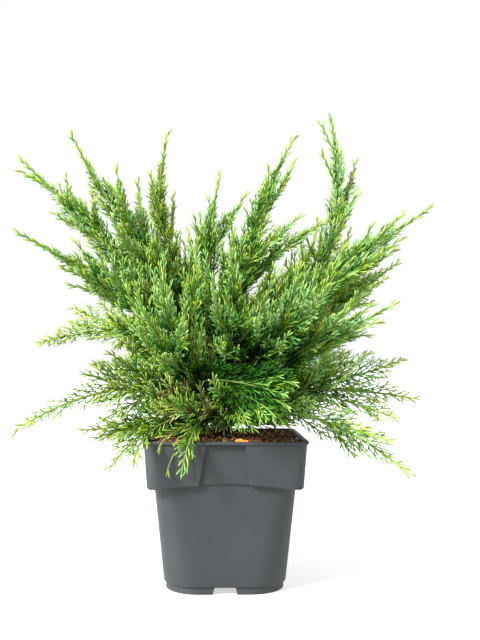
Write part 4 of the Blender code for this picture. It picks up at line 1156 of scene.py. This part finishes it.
toneNames = list(leafTones)
toneRamps = {
    "green": ("deep", "mid", "green", "fresh", "tip"), "warm": ("deepWarm", "midWarm", "olive", "warm", "gold"),
    "blue": ("deepBlue", "blue", "paleBlue", "frost", "frostTip"), "dead": ("dead", "dead", "dead")}
toneMixes = {
    "green": ("green", "green", "warm", "blue", "blue"), "low": ("green", "warm", "warm", "blue"),
    "fresh": ("warm", "warm", "green", "warm"), "blue": ("blue", "blue", "green", "blue", "warm"),
    "faded": ("warm", "green", "dead", "green", "warm")}


# What one plume carries: twigs as runs of points, and leaves as places with a heading
class Growth:
    def __init__(self):
        self.twigPoints, self.twigEdges, self.twigRadii, self.twigGreen = [], [], [], []
        self.places, self.headings, self.rolls = [], [], []
        self.sizes, self.tones, self.steps = [], [], []
        self.girth, self.fine, self.open, self.wide = 1.0, 1.0, 1.0, 1.0

    def addTwig(self, points, radii, green):
        first = len(self.twigPoints)
        self.twigPoints += points
        self.twigRadii += radii
        self.twigGreen += [green] * len(points)
        self.twigEdges += [(first + index, first + index + 1) for index in range(len(points) - 1)]

    def addLeaf(self, place, along, roll, length, tone, girth=1.0, step=1):
        end = place + length * along
        if not (clearOfPot(end) and insideBox(end)):
            return
        self.places.append(place)
        self.headings.append(along)
        self.rolls.append(roll)
        width = self.fine * self.girth * girth
        self.sizes.append((width, width, length))
        self.tones.append(toneNames.index(tone))
        self.steps.append(step)

    # Leafy cords end to end along a run of points
    def addCords(self, points, length, ramp, begin, finish, girths, rng, s):
        count = max(1, round(length / s["cordLength"]))
        for index in range(count):
            share = index / count
            place = alongRun(points, share * length)[0]
            reach = alongRun(points, (index + 1) * length / count)[0] - place
            self.addLeaf(place, reach.normalized(), rng.uniform(0.0, 2.0), reach.length + 0.0012,
                         pickTone(ramp, begin + (finish - begin) * (index + 1) / count, rng),
                         girths[0] + (girths[1] - girths[0]) * share, int(index == count - 1))


def insideBox(point, margin=0.0005):
    return all(low + margin < value < high - margin for low, value, high in zip(cadLow, point, cadHigh))


# Points of a twig that leaves along start and bends to end
def bent(root, start, end, length, count):
    points = [root]
    step = length / (count - 1)
    for index in range(count - 1):
        share = (index + 0.5) / (count - 1)
        points.append(points[-1] + step * start.lerp(end, share).normalized())
    return points


def alongRun(points, distance):
    for before, after in zip(points, points[1:]):
        reach = (after - before).length
        if distance <= reach:
            return before + (after - before) * (distance / reach), (after - before).normalized()
        distance -= reach
    return points[-1], (points[-1] - points[-2]).normalized()


def pickTone(ramp, freshness, rng):
    level = int(len(ramp) * freshness + rng.uniform(-0.18, 0.18))
    return ramp[max(0, min(len(ramp) - 1, level))]


def spun(axis, way, degrees):
    return Matrix.Rotation(math.radians(degrees), 3, axis) @ way


# A branchlet of leafy cords end to end, with short leaves left and right
def dressBranch(growth, points, length, across, ramp, freshness, rng, s):
    distance = 0.0024
    hand = rng.choice((-1.0, 1.0))
    while distance < length - 0.0020:
        place, along = alongRun(points, distance)
        angle = growth.wide * math.radians(s["nubAngle"] + rng.uniform(-8.0, 8.0))
        outward = spun(along, hand * across, rng.uniform(-30.0, 30.0))
        reach = min(rng.uniform(*s["nubLength"]), 0.0020 + 0.75 * (length - distance))
        growth.addLeaf(place, math.cos(angle) * along + math.sin(angle) * outward, rng.uniform(0.0, 2.0), reach,
                       pickTone(ramp, freshness + s["outerFreshness"] * distance / length, rng), 0.92,
                       int(distance > 0.6 * length))
        hand = -hand
        distance += growth.open * s["nubStep"] * rng.uniform(0.8, 1.2)
    growth.addCords(points, length, ramp, freshness, freshness + s["outerFreshness"], (1.0, 0.9), rng, s)


# A flat frond: its branchlets leave left and right in one plane and bend towards its tip
def growFrond(growth, number, root, along, outward, length, share, lift, ramp, rng, s, darkening=0.0):
    first, last = s["frondAngle"]
    angle = growth.wide * math.radians(first + share * (last - first) + rng.uniform(-6.0, 6.0))
    start = math.cos(angle) * along + math.sin(angle) * outward
    end = (start + 1.0 * along + lift * upward).normalized()
    margin = s["margin"] + s["innerMargin"] * max(0.0, 1.0 - 2.0 * share)
    for shrink in (1.0, 0.8, 0.6, 0.42, 0.28):
        points = bent(root, start, end, shrink * length, 6)
        if space.room(number, points[-1]) > -margin and clearOfPot(points[-1]) and clearOfPot(points[3]):
            break
    else:
        return
    length = shrink * length
    # lower freshness means darker tones; inside the crown part of this darkening is painted shade
    freshness = 0.32 * share + rng.uniform(-0.16, 0.12) - darkening
    growth.girth = s["innerGirth"] + (1.0 - s["innerGirth"]) * share
    growth.addCords(points, length, ramp, freshness, freshness + s["tipFreshness"], (1.0 + 10.0 * length, 1.0),
                    rng, s)
    side = start.cross(facingFrom(root, s)).normalized()
    side = spun(start, side, rng.uniform(-s["frondRoll"], s["frondRoll"]))
    distance = 0.0028
    hand = rng.choice((-1.0, 1.0))
    while distance < length - 0.0030:
        place, direction = alongRun(points, distance)
        across = spun(direction, (hand * (side - side.dot(direction) * direction)).normalized(),
                      rng.uniform(-14.0, 14.0))
        reach = min(s["longestBranch"], s["branchShare"] * (length - distance) + 0.0015) * rng.uniform(0.75, 1.1)
        angle = growth.wide * math.radians(s["branchAngle"] + rng.uniform(-6.0, 6.0))
        way = math.cos(angle) * direction + math.sin(angle) * across
        young = freshness + s["tipFreshness"] * distance / length + rng.uniform(-0.12, 0.12)
        if reach > s["shortestBranch"] and rng.random() < s["forked"]:
            branch = bent(place, way, (way + 0.80 * direction + 0.4 * lift * upward).normalized(), reach, 4)
            if clearOfPot(branch[-1]):
                dressBranch(growth, branch, reach, across, ramp, young, rng, s)
        else:
            growth.addLeaf(place, way, rng.uniform(0.0, 2.0), min(reach, rng.uniform(*s["nubLength"]) + 0.0006),
                           pickTone(ramp, young, rng), 0.92, int(distance > 0.7 * length))
        hand = -hand
        distance += growth.open * s["branchStep"] * rng.uniform(0.8, 1.2)
    place, along = points[-1], (points[-1] - points[-2]).normalized()
    growth.addLeaf(place - 0.0045 * along, along, 0.0, 0.0062, pickTone(ramp, freshness + 0.30, rng))


# Nought inside the crown, one at its far tips
def outwardness(place):
    return min(1.0, max(0.0, ((place - Vector((-0.010, 0.0, 0.170))).length - 0.110) / 0.045))


# One at the heart of the crown and nought further out; tones run darker there, partly for older leaves and
# partly as painted shade
def depthInside(place):
    return max(0.0, 1.0 - (place - Vector((0.002, -0.010, 0.140))).length / 0.085)


# The way the crown's surface faces here; sprays spread across it
def facingFrom(place, s):
    return Vector((0.35 * place.x, place.y + math.copysign(s["facing"] * 0.1, place.y), 0.01)).normalized()


# Fronds left and right along one path, long near its foot and short near its tip
def dressPath(growth, number, plume, path, first, shareAt, rng, s):
    habit = habits[path.habit]
    hand = 1.0
    growth.girth, growth.fine, growth.open, growth.wide = 1.0, habit["fine"], habit["open"], habit["wide"]
    thin = habit["taper"] if path is plume else 0.45 * habit["taper"]
    distance = first
    while distance < path.length - 0.004:
        share = shareAt(distance)
        left = path.length - distance
        place, along = path.at(distance)
        hand = -hand
        side = hand * along.cross(facingFrom(place, s)).normalized()
        outward = spun(along, side, rng.uniform(-habit["roll"], habit["roll"]))
        longest = min(path.spread, 0.0035 + habit["slope"] * max(0.0, left - thin))
        ramp = toneRamps[rng.choice(toneMixes[path.tone])]
        if share < 0.30 and place.z < 0.150 and place.x < 0.010 and rng.random() < 0.16:
            ramp = toneRamps["dead"]
        if longest < s["shortestBranch"]:
            growth.girth = 1.0 + 0.5 * outwardness(place)
            angle = growth.wide * math.radians(rng.uniform(*s["scaleAngle"]))
            growth.addLeaf(place, math.cos(angle) * along + math.sin(angle) * outward, 0.0,
                           rng.uniform(*s["scaleLength"]), pickTone(ramp, 0.55, rng))
            distance += s["scaleStep"] * rng.uniform(0.8, 1.2)
        else:
            length = longest * rng.choice((0.6, 0.8, 1.0, 1.1))
            # fronds deep inside the crown get darker tones, partly for older leaves and partly as painted shade
            growFrond(growth, number, place, along, outward, max(0.0066, length), share, habit["lift"], ramp,
                      rng, s, habit["darkening"] + s["innerShadeAndAge"] * depthInside(place))
            distance += habit["step"] * (0.42 + 0.28 * share) * rng.uniform(0.75, 1.25)
    growth.girth = 1.0
    reach = min(s["tipCord"], 0.6 * path.length)
    points = [path.at(path.length - reach * (1.0 - step / 6.0))[0] for step in range(7)]
    outer = outwardness(points[-1])
    growth.addCords(points, reach, toneRamps["warm" if outer > 0.5 else "green"], 0.28 + 0.14 * outer,
                    0.54 + 0.34 * outer, (1.1 + 0.6 * outer, 0.9 + 0.4 * outer), rng, s)


# Shoots by the golden turn along the inner part of a plume, where they have room
def innerShoots(number, plume, rng, s):
    shoots = []
    turn = rng.uniform(0.0, 360.0)
    for share in s["shootShares"] if plume.length > s["shortestPlume"] else ():
        turn += goldenTurn
        steep = 2.0 + 12.0 * max(0.0, 0.22 - share)
        shoot = Shoot(plume, share, turn, rng.uniform(*s["shootLength"]), steep * habits[plume.habit]["lift"])
        tip = shoot.points[-1]
        held = clearOfPot(tip, 0.008) and insideBox(tip, 0.012) and tip.z < s["shootTop"]
        if held and space.room(number, tip) > -s["shootMargin"]:
            shoots.append(shoot)
    return shoots


def growPlume(number, plume, s):
    rng = random.Random(s["seed"] * 100 + number)
    growth = Growth()
    green = plume.start + 0.12 * (plume.length - plume.start)
    for begin, finish, young in ((plume.start * 0.9, green, 0), (green, plume.length - 0.003, 1)):
        stops = np.linspace(begin, finish, 14).tolist()
        growth.addTwig([plume.at(d)[0] for d in stops], [plume.radius(d) for d in stops], young)
    first = 0.008 if plume.name != "right_drooping" else 0.075
    dressPath(growth, number, plume, plume, first, lambda d: d / plume.length, rng, s)
    for fork in plume.forks + innerShoots(number, plume, rng, s):
        stops = np.linspace(0.0, fork.length - 0.003, 14).tolist()
        growth.addTwig([fork.at(d)[0] for d in stops], [fork.radius(d) for d in stops], 1)
        whole = fork.share * plume.length + fork.length
        dressPath(growth, number, plume, fork, 0.004, lambda d: (whole - fork.length + d) / whole, rng, s)
    return growth


# One leafy tip, unit long: two rings of scales, one turned half a step against the other
def leafShape():
    points = []
    for index, (height, radius) in enumerate(((0.0, 0.86), (0.78, 1.0))):
        for side in range(3):
            turn = math.radians(120.0 * side + 60.0 * index)
            points.append(Vector((radius * math.cos(turn), radius * math.sin(turn), height)))
    points.append(Vector((0.0, 0.0, 1.0)))
    faces = [(2, 1, 0)] + [(side, (side + 1) % 3, 3 + side) for side in range(3)]
    faces += [(side, 3 + side, 3 + (side + 2) % 3) for side in range(3)]
    faces += [(3 + side, 3 + (side + 1) % 3, 6) for side in range(3)]
    leaf = addPiece("leafShape", points, faces)
    turnOutwards(leaf)
    outer = leaf.data.attributes.new("outer", "INT", "FACE")
    outer.data.foreach_set("value", [int(index >= 4) for index in range(len(faces))])
    leaf.data.shade_smooth()
    return leaf


# A leaf on every point, turned along its heading, then each tone's faces get their own colour
def leafTree():
    inputs = {"Leaf": "NodeSocketObject", "Width": "NodeSocketFloat"}
    inputs.update({tone: "NodeSocketMaterial" for tone in toneNames})
    tree, start, keys = geometryTree("laySprays", inputs)

    def named(name, kind):
        node = addNode(tree, "GeometryNodeInputNamedAttribute", data_type=kind)
        node.inputs["Name"].default_value = name
        return node.outputs["Attribute"]

    leaf = addNode(tree, "GeometryNodeObjectInfo")
    feed(tree, leaf.inputs["Object"], start.outputs["Leaf"])
    align = addNode(tree, "FunctionNodeAlignRotationToVector", axis="Z")
    feed(tree, align.inputs["Vector"], named("heading", "FLOAT_VECTOR"))
    spin = addNode(tree, "FunctionNodeAxisAngleToRotation")
    spin.inputs["Axis"].default_value = (0.0, 0.0, 1.0)
    feed(tree, spin.inputs["Angle"], named("roll", "FLOAT"))
    both = addNode(tree, "FunctionNodeRotateRotation", rotation_space="LOCAL")
    feed(tree, both.inputs["Rotation"], align.outputs["Rotation"])
    feed(tree, both.inputs["Rotate By"], spin.outputs["Rotation"])
    thick = addNode(tree, "ShaderNodeCombineXYZ")
    feed(tree, thick.inputs[0], start.outputs["Width"])
    feed(tree, thick.inputs[1], start.outputs["Width"])
    thick.inputs[2].default_value = 1.0
    size = addNode(tree, "ShaderNodeVectorMath", operation="MULTIPLY")
    feed(tree, size.inputs[0], thick.outputs[0])
    feed(tree, size.inputs[1], named("size", "FLOAT_VECTOR"))
    place = addNode(tree, "GeometryNodeInstanceOnPoints")
    feed(tree, place.inputs["Points"], start.outputs["Geometry"])
    feed(tree, place.inputs["Instance"], leaf.outputs["Geometry"])
    feed(tree, place.inputs["Rotation"], both.outputs["Rotation"])
    feed(tree, place.inputs["Scale"], size.outputs[0])
    real = addNode(tree, "GeometryNodeRealizeInstances")
    feed(tree, real.inputs[0], place.outputs[0])
    younger = addNode(tree, "FunctionNodeIntegerMath", operation="ADD")
    feed(tree, younger.inputs[0], named("tone", "INT"))
    outer = addNode(tree, "FunctionNodeIntegerMath", operation="MULTIPLY")
    feed(tree, outer.inputs[0], named("outer", "INT"))
    feed(tree, outer.inputs[1], named("step", "INT"))
    feed(tree, younger.inputs[1], outer.outputs[0])
    geometry = real.outputs[0]
    for index, name in enumerate(toneNames):
        same = addNode(tree, "FunctionNodeCompare", data_type="INT", operation="EQUAL")
        feed(tree, same.inputs["A"], younger.outputs[0])
        same.inputs["B"].default_value = index
        paint = addNode(tree, "GeometryNodeSetMaterial")
        feed(tree, paint.inputs["Geometry"], geometry)
        feed(tree, paint.inputs["Selection"], same.outputs["Result"])
        feed(tree, paint.inputs["Material"], start.outputs[name])
        geometry = paint.outputs[0]
    finishTree(tree, geometry)
    return tree, keys


# Round twigs along every run of edges, brown where they are woody and green where they are young
def twigTree():
    tree, start, keys = geometryTree("layTwigs", {"Sides": "NodeSocketInt", "Woody": "NodeSocketMaterial",
                                                  "Young": "NodeSocketMaterial"})
    radius = addNode(tree, "GeometryNodeInputNamedAttribute", data_type="FLOAT")
    radius.inputs["Name"].default_value = "thickness"
    green = addNode(tree, "GeometryNodeInputNamedAttribute", data_type="INT")
    green.inputs["Name"].default_value = "green"
    runs = addNode(tree, "GeometryNodeMeshToCurve")
    feed(tree, runs.inputs["Mesh"], start.outputs["Geometry"])
    ring = addNode(tree, "GeometryNodeCurvePrimitiveCircle")
    feed(tree, ring.inputs["Resolution"], start.outputs["Sides"])
    ring.inputs["Radius"].default_value = 1.0
    tube = addNode(tree, "GeometryNodeCurveToMesh")
    feed(tree, tube.inputs["Curve"], runs.outputs["Curve"])
    feed(tree, tube.inputs["Profile Curve"], ring.outputs["Curve"])
    feed(tree, tube.inputs["Scale"], radius.outputs["Attribute"])
    tube.inputs["Fill Caps"].default_value = True
    real = addNode(tree, "GeometryNodeRealizeInstances")
    feed(tree, real.inputs[0], tube.outputs["Mesh"])
    wood = addNode(tree, "GeometryNodeSetMaterial")
    feed(tree, wood.inputs["Geometry"], real.outputs[0])
    feed(tree, wood.inputs["Material"], start.outputs["Woody"])
    same = addNode(tree, "FunctionNodeCompare", data_type="INT", operation="EQUAL")
    feed(tree, same.inputs["A"], green.outputs["Attribute"])
    same.inputs["B"].default_value = 1
    young = addNode(tree, "GeometryNodeSetMaterial")
    feed(tree, young.inputs["Geometry"], wood.outputs[0])
    feed(tree, young.inputs["Selection"], same.outputs["Result"])
    feed(tree, young.inputs["Material"], start.outputs["Young"])
    finishTree(tree, young.outputs[0])
    return tree, keys


# Scale leaves: a plain base colour with a waxy, faintly uneven surface
def leafMaterial(name, color):
    material, tree, shader = newMaterial(name + "Leaf", 0.55, 0.05)
    shader.inputs["Base Color"].default_value = (*color, 1.0)
    patches = addNode(tree, "ShaderNodeGroup", node_tree=mottle)
    patches.inputs["Scale"].default_value = 140.0
    patches.inputs["Grain"].default_value = 0.5
    rough = addNode(tree, "ShaderNodeMapRange")
    for label, value in (("To Min", 0.40), ("To Max", 0.70)):
        rough.inputs[label].default_value = value
    feed(tree, rough.inputs["Value"], patches.outputs["Mask"])
    feed(tree, shader.inputs["Roughness"], rough.outputs["Result"])
    relief = addNode(tree, "ShaderNodeBump")
    relief.inputs["Strength"].default_value = 0.35
    relief.inputs["Distance"].default_value = 0.0002
    feed(tree, relief.inputs["Height"], patches.outputs["Fine"])
    feed(tree, shader.inputs["Normal"], relief.outputs["Normal"])
    return material


def storeAttribute(mesh, name, kind, values):
    layer = mesh.attributes.new(name, kind, "POINT")
    flat = np.array(values, dtype=np.int32 if kind == "INT" else np.float32).ravel()
    layer.data.foreach_set("vector" if kind == "FLOAT_VECTOR" else "value", flat)


def makeFoliage(s):
    leaf = leafShape()
    leaves, leafKeys = leafTree()
    twigs, twigKeys = twigTree()
    tones = {name: leafMaterial(name, color) for name, color in leafTones.items()}
    woody, tree, shader = newMaterial("youngBark", 0.80, 0.3)
    mottledColor(tree, shader, (0.075, 0.040, 0.022), (0.210, 0.115, 0.060), 170.0, 0.4, bump=0.4)
    young, tree, shader = newMaterial("youngTwig", 0.60, 0.2)
    mottledColor(tree, shader, (0.060, 0.110, 0.014), (0.170, 0.240, 0.048), 120.0, 0.4, bump=0.3)
    leafCount, twigCount = 0, 0
    for number, plume in enumerate(plumes):
        growth = growPlume(number, plume, s)
        spray = addPiece(plume.name + "Leaves", growth.places)
        storeAttribute(spray.data, "heading", "FLOAT_VECTOR", [tuple(way) for way in growth.headings])
        storeAttribute(spray.data, "roll", "FLOAT", growth.rolls)
        storeAttribute(spray.data, "size", "FLOAT_VECTOR", growth.sizes)
        storeAttribute(spray.data, "tone", "INT", growth.tones)
        storeAttribute(spray.data, "step", "INT", growth.steps)
        bakeTree(spray, leaves, leafKeys, {"Leaf": leaf, "Width": s["leafWidth"], **tones})
        rideRoot(spray, "foliage", plume.name + "_foliage")
        wood = addPiece(plume.name + "Twigs", growth.twigPoints, edges=growth.twigEdges)
        storeAttribute(wood.data, "thickness", "FLOAT", growth.twigRadii)
        storeAttribute(wood.data, "green", "INT", growth.twigGreen)
        bakeTree(wood, twigs, twigKeys, {"Sides": 4, "Woody": woody, "Young": young})
        rideRoot(wood, "bark", plume.name + "_foliage")
        leafCount += len(growth.places)
        twigCount += len(wood.data.polygons)
    bpy.data.objects.remove(leaf, do_unlink=True)
    print("foliage made:", leafCount, "leaves,", twigCount, "twig faces")


makeFoliage(leafSettings)
